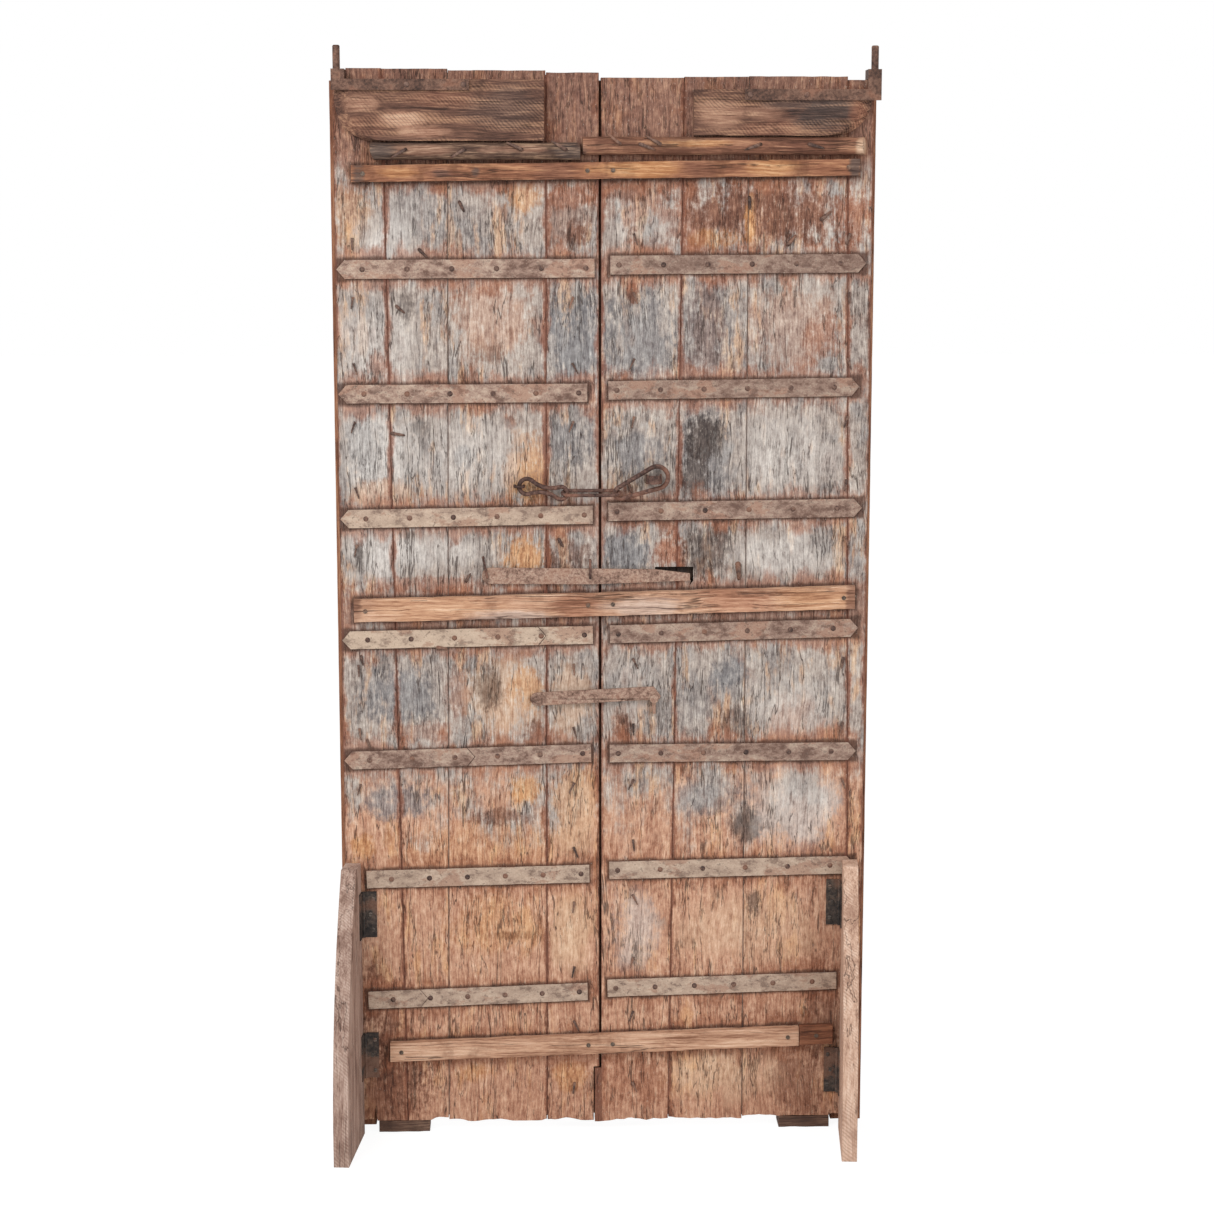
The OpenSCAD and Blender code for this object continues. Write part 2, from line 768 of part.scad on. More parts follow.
// The plate of one hinge leaf against the planks, with tabs to its own knuckles
module leaf_plate(low, first) {
    step = hinge_h / knuckle_count;
    clear = knuckle_r + knuckle_gap;
    translate([clear, -hinge_t, low]) cube([hinge_leaf_w - clear, hinge_t, hinge_h]);
    for (k = [first:2:knuckle_count - 1])
        translate([0, -hinge_t, low + k * step + knuckle_gap / 2]) cube([clear, hinge_t, step - knuckle_gap]);
}

module door_leaf(z) {
    low = z - hinge_h / 2;
    difference() {
        union() {
            leaf_plate(low, 0);
            knuckles(low, 0);
        }
        bore(low);
    }
}

module stand_leaf(z) {
    low = z - hinge_h / 2;
    difference() {
        union() {
            translate([-knuckle_off, -knuckle_off, 0]) mirror([1, 1, 0]) leaf_plate(low, 1);
            knuckles(low, 1);
        }
        bore(low);
    }
}

module left_hinge_door_leaves() {
    color("black") left_hinge(0) for (z = left_hinge_z) door_leaf(z);
}

module left_hinge_stand_leaves() {
    color("black") left_hinge(-left_toe_out) for (z = left_hinge_z) stand_leaf(z);
}

module right_hinge_door_leaves() {
    color("black") right_hinge(0) for (z = right_hinge_z) door_leaf(z);
}

module right_hinge_stand_leaves() {
    color("black") right_hinge(-right_toe_in) for (z = right_hinge_z) stand_leaf(z);
}

module hinge_pin(z) {
    translate([0, -knuckle_off, z - hinge_h / 2]) cylinder(h = hinge_h, r = hinge_pin_r);
}

module hinge_pins() {
    color("dimgray") {
        left_hinge(0) for (z = left_hinge_z) hinge_pin(z);
        right_hinge(0) for (z = right_hinge_z) hinge_pin(z);
    }
}

// Chain hasp
module on_chain() {
    on_door() translate([0, -chain_out, 0]) children();
}

module chain_staple() {
    color("sienna") on_door() translate([chain_staple_x, 0, chain_z]) {
        for (side = [-1, 1])
            translate([side * staple_half, 0, 0]) rotate([90, 0, 0]) cylinder(h = staple_leg, r = staple_rod_r);
        translate([0, -staple_leg, 0]) rotate([0, 0, 180]) rotate_extrude(angle = 180, $fn = 96)
            translate([staple_half, 0])
                circle(r = staple_rod_r);
    }
}

// Eye link: one rod bent round two eyes and squeezed between them, all arcs tangent
module chain_eye_link() {
    pinch_x = (eye_pitch * eye_pitch + pow(eye_big_r + eye_pinch_r, 2) - pow(eye_small_r + eye_pinch_r, 2)) / (2 * eye_pitch);
    pinch_z = sqrt(pow(eye_big_r + eye_pinch_r, 2) - pinch_x * pinch_x);
    big_turn = atan2(pinch_z, pinch_x);
    small_turn = atan2(pinch_z, pinch_x - eye_pitch);
    color("sienna") on_chain() translate([eye_big[0], 0, eye_big[1]]) rotate([0, -eye_lean, 0]) {
        rod_arc([0, 0], eye_big_r, big_turn, 360 - big_turn, eye_rod_r, weld_run);
        rod_arc([eye_pitch, 0], eye_small_r, -small_turn, small_turn, eye_rod_r, weld_run);
        rod_arc([pinch_x, pinch_z], eye_pinch_r, 180 + big_turn, 180 + small_turn, eye_rod_r + weld_grow);
        rod_arc([pinch_x, -pinch_z], eye_pinch_r, 180 - small_turn, 180 - big_turn, eye_rod_r + weld_grow);
    }
}

// Long link: a slim loop of rod, rolled so that both runs show
module chain_long_link() {
    left_end = -(eye_rod_r + long_rod_r + iron_gap) + long_bend_r;
    right_end = long_pitch + ring_rod_r + long_rod_r + iron_gap - long_bend_r;
    color("sienna") on_chain() translate([eye_end[0], 0, eye_end[1]]) rotate([long_roll - 90, 0, 0]) {
        rod_arc([left_end, 0], long_bend_r, 90, 270, long_rod_r);
        rod_arc([right_end, 0], long_bend_r, -90, 90, long_rod_r);
        rod([left_end, long_bend_r], [right_end, long_bend_r], long_rod_r);
        rod([left_end, -long_bend_r], [right_end, -long_bend_r], long_rod_r);
    }
}

// Ring: a pear-shaped loop, two arcs joined by straight runs
module chain_ring() {
    flare = asin((ring_big_r - ring_small_r) / ring_pitch);
    side = 90 + flare;
    spoke = [cos(side), sin(side)];
    flip = [spoke[0], -spoke[1]];
    far = [ring_pitch, 0];
    color("sienna") on_chain() translate([ring_small[0], 0, ring_small[1]]) rotate([0, -ring_lean, 0]) {
        rod_arc([0, 0], ring_small_r, side, 360 - side, ring_rod_r, weld_run);
        rod_arc(far, ring_big_r, -side, side, ring_rod_r, weld_run);
        rod(ring_small_r * spoke, far + ring_big_r * spoke, ring_rod_r + weld_grow);
        rod(ring_small_r * flip, far + ring_big_r * flip, ring_rod_r + weld_grow);
    }
}

// Hasp staple: a flat strap bent into an arch that the ring goes over
module hasp_staple() {
    outer_r = hasp_span / 2;
    inner_r = outer_r - hasp_t;
    color("sienna") on_door() translate([hasp_at[0], 0, hasp_at[1] - hasp_w / 2]) {
        for (x = [-outer_r, inner_r])
            translate([x, -hasp_leg, 0]) cube([hasp_t, hasp_leg, hasp_w]);
        translate([0, -hasp_leg, 0]) difference() {
            cylinder(h = hasp_w, r = outer_r);
            translate([0, 0, -1]) cylinder(h = hasp_w + 2, r = inner_r);
            translate([-hasp_span, 0, -1]) cube([2 * hasp_span, hasp_span, hasp_w + 2]);
        }
    }
}

// Upper latch
module upper_latch_outline() {
    end_r = 17;
    middle = 215;
    polygon(concat(
        [for (a = [90:15:270]) [6 + end_r * cos(a), 3 + end_r * sin(a)]],
        [[middle, -16], [upper_latch_len, tongue_low], [upper_latch_len, 6], [upper_latch_len - 73, 15], [middle, 17]]
    ));
}

module on_upper_latch() {
    on_door() translate([upper_latch_x, 0, upper_latch_z]) children();
}

module upper_latch_bar() {
    tongue_x = upper_latch_len - tongue_w;
    color("sienna") on_upper_latch() {
        difference() {
            raised(latch_t, upper_latch_out) upper_latch_outline();
            peg([0, 0], wire_r + turning_gap, 2 * latch_t + 2 * upper_latch_out, -1);
        }
        translate([tongue_x, -upper_latch_out - latch_t / 2, tongue_low])
            cube([tongue_w, tongue_deep + upper_latch_out + latch_t / 2, tongue_h]);
    }
}

// A wire staple: one leg in the planks above, the other through the bar's eye
module upper_latch_staple() {
    color("sienna") on_upper_latch() {
        peg(upper_staple_top, wire_r, wire_out);
        peg([0, 0], wire_r, wire_out);
        translate([0, -wire_out, 0]) rod([0, 0], upper_staple_top, wire_r * 0.95);
        for (at = [[0, 0], upper_staple_top])
            translate([at[0], -wire_out, at[1]]) sphere(r = wire_r * 1.1);
    }
}

// A bent nail whose end hangs over the bar's face
module upper_latch_hook() {
    color("sienna") on_upper_latch() {
        peg(hook_at, wire_r, wire_out);
        translate([0, -wire_out, 0]) rod(hook_at, hook_at - [0, hook_drop], wire_r * 0.95);
        translate([hook_at[0], -wire_out, hook_at[1]]) sphere(r = wire_r * 1.1);
    }
}

// Lower latch
module lower_latch_outline() {
    tail = 14;
    end = lower_latch_len + notch_r + 8;
    difference() {
        polygon(concat(
            [for (a = [90:15:270]) [-2 + lower_latch_half * cos(a), lower_latch_half * sin(a)]],
            [[end - 3, -lower_latch_half], [end, -lower_latch_half / 2], [end - tail, lower_latch_half]]
        ));
        translate([lower_latch_len, -catch_drop]) circle(r = notch_r);
        translate([lower_latch_len - notch_r, -catch_drop - 2 * lower_latch_half])
            square([2 * notch_r, 2 * lower_latch_half]);
        circle(r = rivet_r + turning_gap);
    }
}

module lower_latch_bar() {
    color("sienna") on_door() translate([lower_latch_x, 0, lower_latch_z]) rotate([0, -lower_latch_lean, 0])
        raised(latch_t, lower_latch_out) lower_latch_outline();
}

module lower_latch_rivet() {
    at = [lower_latch_x, lower_latch_z];
    front = lower_latch_out + latch_t + seat_gap;
    color("sienna") on_door() {
        peg(at, rivet_r, front);
        peg(at, rivet_head_r, lower_latch_out - seat_gap);
        peg(at, rivet_head_r, rivet_head_h, front);
    }
}

// The catch: a headed stud over a tail that lies on the planks
module lower_latch_catch() {
    at = [catch_x, catch_z];
    front = lower_latch_out + latch_t + seat_gap;
    color("sienna") on_door() {
        peg(at, catch_r, front);
        peg(at, catch_head_r, catch_head_h, front);
        raised(lower_latch_out - 1)
            polygon([at + [-catch_r, 0], at + [-2, -34], at + [3, -34], at + [catch_r, 0]]);
    }
}

left_plank_outer();
left_plank_second();
left_plank_third();
left_plank_meeting();
right_plank_meeting();
right_plank_second();
right_plank_third();
right_plank_outer();
left_outer_stile();
left_meeting_stile();
right_meeting_stile();
right_outer_stile();
cover_strip();
left_top_cleat();
right_top_cleat();
left_top_bar();
right_top_bar();
left_pivot_iron();
right_pivot_iron();
for (i = [0:strap_count - 1]) {
    left_strap(i);
    right_strap(i);
}
top_batten();
middle_batten();
bottom_batten();
batten_block();
left_foot_block();
right_foot_block();
left_stand();
right_stand();
left_hinge_door_leaves();
left_hinge_stand_leaves();
right_hinge_door_leaves();
right_hinge_stand_leaves();
hinge_pins();
chain_staple();
chain_eye_link();
chain_long_link();
chain_ring();
hasp_staple();
upper_latch_bar();
upper_latch_staple();
upper_latch_hook();
lower_latch_bar();
lower_latch_rivet();
lower_latch_catch();
strap_nails();
stile_nails();
batten_screws();
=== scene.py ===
import math

import bmesh
import bpy
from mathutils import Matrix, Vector, noise


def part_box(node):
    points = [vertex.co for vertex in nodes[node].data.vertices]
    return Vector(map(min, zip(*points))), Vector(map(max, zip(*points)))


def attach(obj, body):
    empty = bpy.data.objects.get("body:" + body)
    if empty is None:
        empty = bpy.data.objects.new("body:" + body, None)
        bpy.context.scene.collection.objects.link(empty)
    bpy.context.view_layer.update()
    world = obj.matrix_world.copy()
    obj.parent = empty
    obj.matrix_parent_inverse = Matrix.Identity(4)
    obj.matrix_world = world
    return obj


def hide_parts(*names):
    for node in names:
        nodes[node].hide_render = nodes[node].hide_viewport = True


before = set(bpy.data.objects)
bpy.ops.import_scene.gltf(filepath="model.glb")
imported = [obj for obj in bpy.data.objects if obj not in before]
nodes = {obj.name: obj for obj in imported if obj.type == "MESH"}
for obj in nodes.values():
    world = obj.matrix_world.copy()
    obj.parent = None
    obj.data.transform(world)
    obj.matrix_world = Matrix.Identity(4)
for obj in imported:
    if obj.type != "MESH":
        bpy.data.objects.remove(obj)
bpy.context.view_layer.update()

# The planks: eight hand-sawn boards of old hardwood, bare and brown at the foot and silvered above,
# with cream and blue-grey wash left in the grain. They stand edge to edge under the iron straps,
# whose rust has stained the border of each panel red-brown.
PLANKS = [
    "left_plank_outer", "left_plank_second", "left_plank_third", "left_plank_meeting",
    "right_plank_meeting", "right_plank_second", "right_plank_third", "right_plank_outer",
]
BATTENS = ["top_batten", "middle_batten", "bottom_batten"]
FACE_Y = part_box("left_plank_third")[0].y
# Joints so tight that they show as a crack, with no rust beside them
TIGHT_JOINTS = [("left_plank_second", "left_plank_third"), ("right_plank_second", "right_plank_third")]


def tint(red, green, blue):
    """A colour given as a screen shows it, as the linear values a shader takes."""
    def linear(level):
        level = level / 255
        return level / 12.92 if level <= 0.04045 else ((level + 0.055) / 1.055) ** 2.4
    return (linear(red), linear(green), linear(blue), 1.0)


class Tone:
    """A shader socket that Python's operators work on."""

    def __init__(self, tree, socket=None):
        self.tree = tree
        self.socket = socket

    def make(self, kind, settings, sockets, out=0):
        """Adds a node, sets it up, then fills or links its sockets."""
        node = self.tree.nodes.new(kind)
        for key, value in settings.items():
            if key == "stops":
                ramp = node.color_ramp
                while len(ramp.elements) < len(value):
                    ramp.elements.new(0.5)
                for element, (place, colour) in zip(ramp.elements, value):
                    element.position = place
                    element.color = colour
            else:
                setattr(node, key, value)
        for key, value in sockets.items():
            if isinstance(value, Tone):
                self.tree.links.new(value.socket, node.inputs[key])
            else:
                node.inputs[key].default_value = value
        return Tone(self.tree, node.outputs[out])

    def maths(self, operation, *values):
        """Adds a Math node on these values."""
        return self.make("ShaderNodeMath", {"operation": operation}, dict(enumerate(values)))

    def __add__(self, other):
        return self.maths("ADD", self, other)

    def __sub__(self, other):
        return self.maths("SUBTRACT", self, other)

    def __rsub__(self, other):
        return self.maths("SUBTRACT", other, self)

    def __mul__(self, other):
        return self.maths("MULTIPLY", self, other)

    def __truediv__(self, other):
        return self.maths("DIVIDE", self, other)

    def __abs__(self):
        return self.maths("ABSOLUTE", self)

    __radd__ = __add__
    __rmul__ = __mul__


def least(first, second):
    """The smaller of two values."""
    return first.maths("MINIMUM", first, second)


def most(first, second):
    """The larger of two values."""
    return first.maths("MAXIMUM", first, second)


def rise(value, low, high):
    """0 below low and 1 above high, with a soft step between."""
    return value.make("ShaderNodeMapRange", {"interpolation_type": "SMOOTHSTEP"},
                      {0: value, 1: low, 2: high})


def fade(mask, under, over):
    """Lays the colour over on the colour under, where the mask is 1."""
    return mask.make("ShaderNodeMix", {"data_type": "RGBA"}, {0: mask, 6: under, 7: over}, out=2)


def speckle(place, stretch, detail=4.0, rough=0.6, shift=0.0):
    """Noise with that many grains a metre along each axis."""
    spread = place.make("ShaderNodeVectorMath", {"operation": "MULTIPLY"}, {0: place, 1: stretch})
    moved = place.make("ShaderNodeVectorMath", {"operation": "ADD"},
                       {0: spread, 1: (shift, shift * 1.7, shift * 0.6)})
    return place.make("ShaderNodeTexNoise", {},
                      {"Vector": moved, "Scale": 1.0, "Detail": detail, "Roughness": rough})


def wander(place, grains, reach):
    """The same place pushed about, so that what is drawn there runs in waves."""
    drift = place.make("ShaderNodeTexNoise", {}, {"Vector": place, "Scale": grains, "Detail": 3.0}, out=1)
    return place.make("ShaderNodeVectorMath", {"operation": "MULTIPLY_ADD"}, {0: drift, 1: reach, 2: place})


def shades(value, *stops):
    """The value as a colour, from stops of a place and the colour there."""
    return value.make("ShaderNodeValToRGB", {"stops": stops}, {0: value})


def new_finish(name):
    """A fresh material: its shader, the surface point, and the point's place across, deep and up."""
    material = bpy.data.materials.new(name)
    material.use_nodes = True
    tree = material.node_tree
    point = Tone(tree).make("ShaderNodeTexCoord", {}, {}, out="Object")
    across, deep, up = (point.make("ShaderNodeSeparateXYZ", {}, {0: point}, out=axis) for axis in range(3))
    return material, tree.nodes["Principled BSDF"], point, across, deep, up


def end_finish(shader, colour, rough, relief, depth):
    """Links colour, roughness and relief to the shader."""
    tree = colour.tree
    tree.links.new(colour.socket, shader.inputs["Base Color"])
    tree.links.new(rough.socket, shader.inputs["Roughness"])
    bump = relief.make("ShaderNodeBump", {}, {"Strength": 0.9, "Distance": depth, "Height": relief})
    tree.links.new(bump.socket, shader.inputs["Normal"])
    shader.inputs["Specular IOR Level"].default_value = 0.25


FOOT_REACH = 0.02
HEAD_REACH = 0.03


def board_edges(node):
    """Where a board's two long edges run on the rear face: (x at the foot, x gained per metre) each.
    The lip at the foot of the right leaf, and the notch for it in the left, don't count."""
    corners = [v.co for v in nodes[node].data.vertices]
    low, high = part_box(node)
    feet = [c.x for c in corners if c.z < low.z + FOOT_REACH]
    heads = [c.x for c in corners if c.z > high.z - HEAD_REACH]
    run = high.z - low.z
    edges = [(pick(feet), (pick(heads) - pick(feet)) / run) for pick in (min, max)]
    if node == "right_plank_meeting":
        edges[0] = (min(heads), 0.0)
    if node == "left_plank_meeting":
        edges[1] = (max(heads), 0.0)
    return edges


def off_strips(across, up, strips):
    """How far a point on a plank is from the nearest strap or batten of those, in metres."""
    nearest = None
    for strip in strips:
        corners = [v.co for v in nodes[strip].data.vertices]
        low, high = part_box(strip)
        middle, half_length = (low.x + high.x) / 2, (high.x - low.x) / 2
        ends = []
        for group in ([c for c in corners if c.x < middle], [c for c in corners if c.x > middle]):
            top = max(group, key=lambda c: c.z)
            bottom = min(group, key=lambda c: c.z)
            ends.append(((top.x + bottom.x) / 2, (top.z + bottom.z) / 2))
        (xa, za), (xb, zb) = ends
        slope = (zb - za) / (xb - xa)
        half_height = ((high.z - low.z) - abs(slope) * 2 * half_length) / 2
        start = za - slope * xa
        off = most(abs(up - (start + slope * across)) - half_height, abs(across - middle) - half_length)
        nearest = off if nearest is None else least(nearest, off)
    return nearest


GRAIN_STEPS = (0.39, 0.46, 0.53, 0.61)
WOOD_PAINTS = {
    "wood": ((120, 79, 61), (173, 126, 102), (203, 160, 133), (226, 193, 166)),
    "cream": ((148, 112, 88), (190, 152, 124), (213, 180, 152), (233, 207, 181)),
    "wash": ((98, 85, 78), (146, 132, 124), (180, 167, 157), (214, 204, 193)),
    "slate": ((76, 73, 75), (112, 109, 110), (142, 140, 140), (174, 173, 172)),
    "soot": ((36, 31, 30), (62, 52, 49), (90, 77, 71), (128, 112, 103)),
    "umber": ((62, 38, 30), (98, 63, 50), (130, 89, 71), (168, 126, 102)),
    "rust": ((88, 50, 36), (132, 82, 60), (162, 108, 82), (194, 142, 112)),
    "honey": ((124, 76, 46), (178, 121, 76), (210, 158, 108), (232, 194, 148)),
    "chalk": ((126, 117, 112), (177, 169, 163), (207, 201, 195), (232, 227, 221)),
}
# Soft stains: across, up, half width, half height, strength, paint
STAINS = [
    (-0.215, 0.960, 0.085, 0.075, 0.65, "cream"), (-0.310, 0.960, 0.030, 0.060, 0.45, "rust"),
    (-0.396, 1.957, 0.062, 0.069, 0.45, "slate"), (-0.517, 1.957, 0.045, 0.070, 0.45, "honey"),
    (-0.163, 1.997, 0.040, 0.030, 0.60, "honey"), (-0.059, 1.920, 0.020, 0.030, 0.80, "umber"),
    (0.330, 1.960, 0.230, 0.080, 0.60, "rust"), (-0.070, 1.955, 0.050, 0.075, 0.55, "umber"),
    (-0.067, 1.997, 0.045, 0.025, 0.60, "rust"), (0.076, 1.935, 0.070, 0.045, 0.35, "chalk"),
    (0.076, 1.980, 0.080, 0.050, 0.45, "rust"), (-0.470, 1.690, 0.085, 0.120, 0.45, "chalk"),
    (-0.470, 1.460, 0.085, 0.110, 0.85, "chalk"), (-0.470, 1.260, 0.085, 0.060, 0.80, "chalk"),
    (0.210, 1.460, 0.065, 0.110, 0.75, "slate"), (0.210, 1.720, 0.060, 0.110, 0.65, "slate"),
    (-0.450, 1.900, 0.060, 0.060, 0.60, "chalk"), (0.120, 1.880, 0.060, 0.050, 0.40, "rust"),
    (0.250, 1.880, 0.060, 0.050, 0.40, "umber"), (0.400, 1.660, 0.120, 0.100, 0.35, "slate"),
    (-0.475, 0.090, 0.050, 0.120, 0.70, "umber"), (-0.250, 0.620, 0.200, 0.070, 0.30, "honey"),
    (-0.060, 0.720, 0.050, 0.090, 0.40, "honey"), (0.390, 0.720, 0.110, 0.080, 0.45, "chalk"),
    (-0.065, 0.460, 0.050, 0.090, 0.45, "honey"), (-0.260, 0.265, 0.140, 0.040, 0.40, "wood"),
    (0.200, 0.130, 0.080, 0.050, 0.50, "honey"), (-0.260, 0.450, 0.130, 0.080, 0.35, "wood"),
    (0.045, 2.008, 0.060, 0.022, 0.70, "umber"), (0.242, 1.980, 0.070, 0.055, 0.90, "umber"),
    (0.300, 1.947, 0.012, 0.050, 0.85, "honey"), (0.390, 1.950, 0.080, 0.060, 0.90, "umber"),
    (0.502, 1.952, 0.050, 0.060, 0.60, "rust"), (0.330, 1.980, 0.030, 0.035, 0.70, "umber"),
    (0.236, 1.910, 0.050, 0.020, 0.50, "honey"), (-0.300, 1.930, 0.060, 0.060, 0.30, "slate"),
    (-0.500, 1.713, 0.050, 0.100, 0.20, "chalk"), (-0.469, 1.649, 0.022, 0.030, 0.60, "rust"),
    (-0.407, 1.776, 0.022, 0.040, 0.55, "soot"), (-0.060, 1.700, 0.065, 0.130, 0.90, "slate"),
    (-0.240, 1.676, 0.035, 0.020, 0.45, "soot"), (-0.230, 1.740, 0.080, 0.090, 0.45, "wood"),
    (0.070, 1.700, 0.080, 0.120, 0.75, "slate"), (0.058, 1.798, 0.014, 0.020, 0.90, "umber"),
    (0.040, 1.627, 0.024, 0.018, 0.80, "umber"), (0.386, 1.724, 0.100, 0.090, 0.35, "wood"),
    (0.462, 1.707, 0.045, 0.045, 0.60, "rust"), (0.210, 1.730, 0.040, 0.100, 0.45, "umber"),
    (-0.495, 1.479, 0.040, 0.070, 0.40, "slate"), (-0.378, 1.524, 0.020, 0.020, 0.70, "soot"),
    (-0.290, 1.463, 0.022, 0.025, 0.70, "slate"), (-0.194, 1.535, 0.013, 0.014, 0.85, "umber"),
    (-0.163, 1.430, 0.045, 0.085, 0.80, "honey"), (-0.072, 1.500, 0.050, 0.060, 0.70, "slate"),
    (0.065, 1.468, 0.060, 0.050, 0.75, "slate"), (0.210, 1.502, 0.042, 0.048, 0.90, "soot"),
    (0.190, 1.415, 0.030, 0.055, 0.80, "soot"), (0.370, 1.463, 0.120, 0.080, 0.50, "chalk"),
    (-0.290, 1.468, 0.140, 0.080, 0.45, "chalk"), (-0.460, 1.385, 0.080, 0.030, 0.40, "honey"),
    (-0.168, 1.256, 0.045, 0.045, 0.80, "honey"), (-0.069, 1.250, 0.045, 0.050, 0.65, "umber"),
    (-0.511, 1.250, 0.012, 0.035, 0.70, "soot"), (-0.355, 1.266, 0.120, 0.035, 0.55, "chalk"),
    (0.042, 1.264, 0.060, 0.050, 0.90, "slate"), (0.138, 1.260, 0.035, 0.045, 0.85, "rust"),
    (0.215, 1.268, 0.055, 0.055, 0.60, "soot"), (0.379, 1.256, 0.110, 0.045, 0.60, "chalk"),
    (-0.340, 1.195, 0.200, 0.020, 0.60, "rust"), (0.110, 1.330, 0.100, 0.016, 0.80, "soot"),
    (-0.427, 0.963, 0.080, 0.065, 0.80, "slate"), (-0.246, 0.980, 0.032, 0.050, 0.55, "soot"),
    (-0.163, 0.974, 0.042, 0.045, 0.55, "honey"), (-0.142, 0.868, 0.032, 0.035, 0.75, "umber"),
    (-0.070, 0.947, 0.045, 0.080, 0.55, "cream"), (0.045, 0.886, 0.022, 0.035, 0.80, "umber"),
    (0.060, 0.980, 0.060, 0.050, 0.40, "chalk"), (0.260, 0.995, 0.036, 0.045, 0.85, "slate"),
    (0.185, 0.953, 0.040, 0.070, 0.40, "slate"), (0.392, 0.937, 0.090, 0.070, 0.40, "chalk"),
    (0.283, 0.894, 0.035, 0.035, 0.50, "soot"), (-0.380, 0.880, 0.080, 0.025, 0.40, "rust"),
    (-0.433, 0.735, 0.070, 0.040, 0.75, "slate"), (-0.513, 0.633, 0.025, 0.030, 0.70, "honey"),
    (-0.165, 0.756, 0.038, 0.030, 0.75, "honey"), (-0.215, 0.697, 0.080, 0.018, 0.70, "umber"),
    (0.227, 0.740, 0.080, 0.040, 0.60, "slate"), (0.299, 0.680, 0.032, 0.045, 0.70, "soot"),
    (0.413, 0.697, 0.080, 0.080, 0.45, "chalk"), (-0.067, 0.687, 0.045, 0.090, 0.60, "cream"),
    (-0.200, 0.437, 0.060, 0.010, 0.75, "umber"), (0.065, 0.442, 0.055, 0.090, 0.50, "chalk"),
    (0.300, 0.447, 0.150, 0.080, 0.50, "cream"), (0.322, 0.506, 0.013, 0.030, 0.65, "soot"),
    (-0.070, 0.442, 0.050, 0.090, 0.75, "cream"), (-0.225, 0.460, 0.100, 0.070, 0.35, "honey"),
    (-0.422, 0.102, 0.050, 0.070, 0.85, "umber"), (-0.277, 0.134, 0.040, 0.022, 0.60, "honey"),
    (-0.075, 0.123, 0.034, 0.032, 0.60, "honey"), (0.250, 0.124, 0.110, 0.060, 0.90, "cream"),
    (0.420, 0.102, 0.055, 0.060, 0.55, "umber"), (0.065, 0.107, 0.070, 0.060, 0.60, "rust"),
    (-0.480, 0.230, 0.050, 0.120, 0.90, "umber"), (0.480, 0.250, 0.040, 0.130, 0.60, "umber"),
]


def lay_stains(colour, across, up, ragged, stains, paints):
    """Lays soft stains on a colour, their edges pulled about by the ragged value, about 0."""
    for x, z, half_wide, half_tall, strength, paint in stains:
        wide, tall = (across - x) / half_wide, (up - z) / half_tall
        spot = 1 - rise(wide * wide + tall * tall + ragged, 0.15, 1.5)
        colour = fade(spot * strength, colour, paints[paint])
    return colour


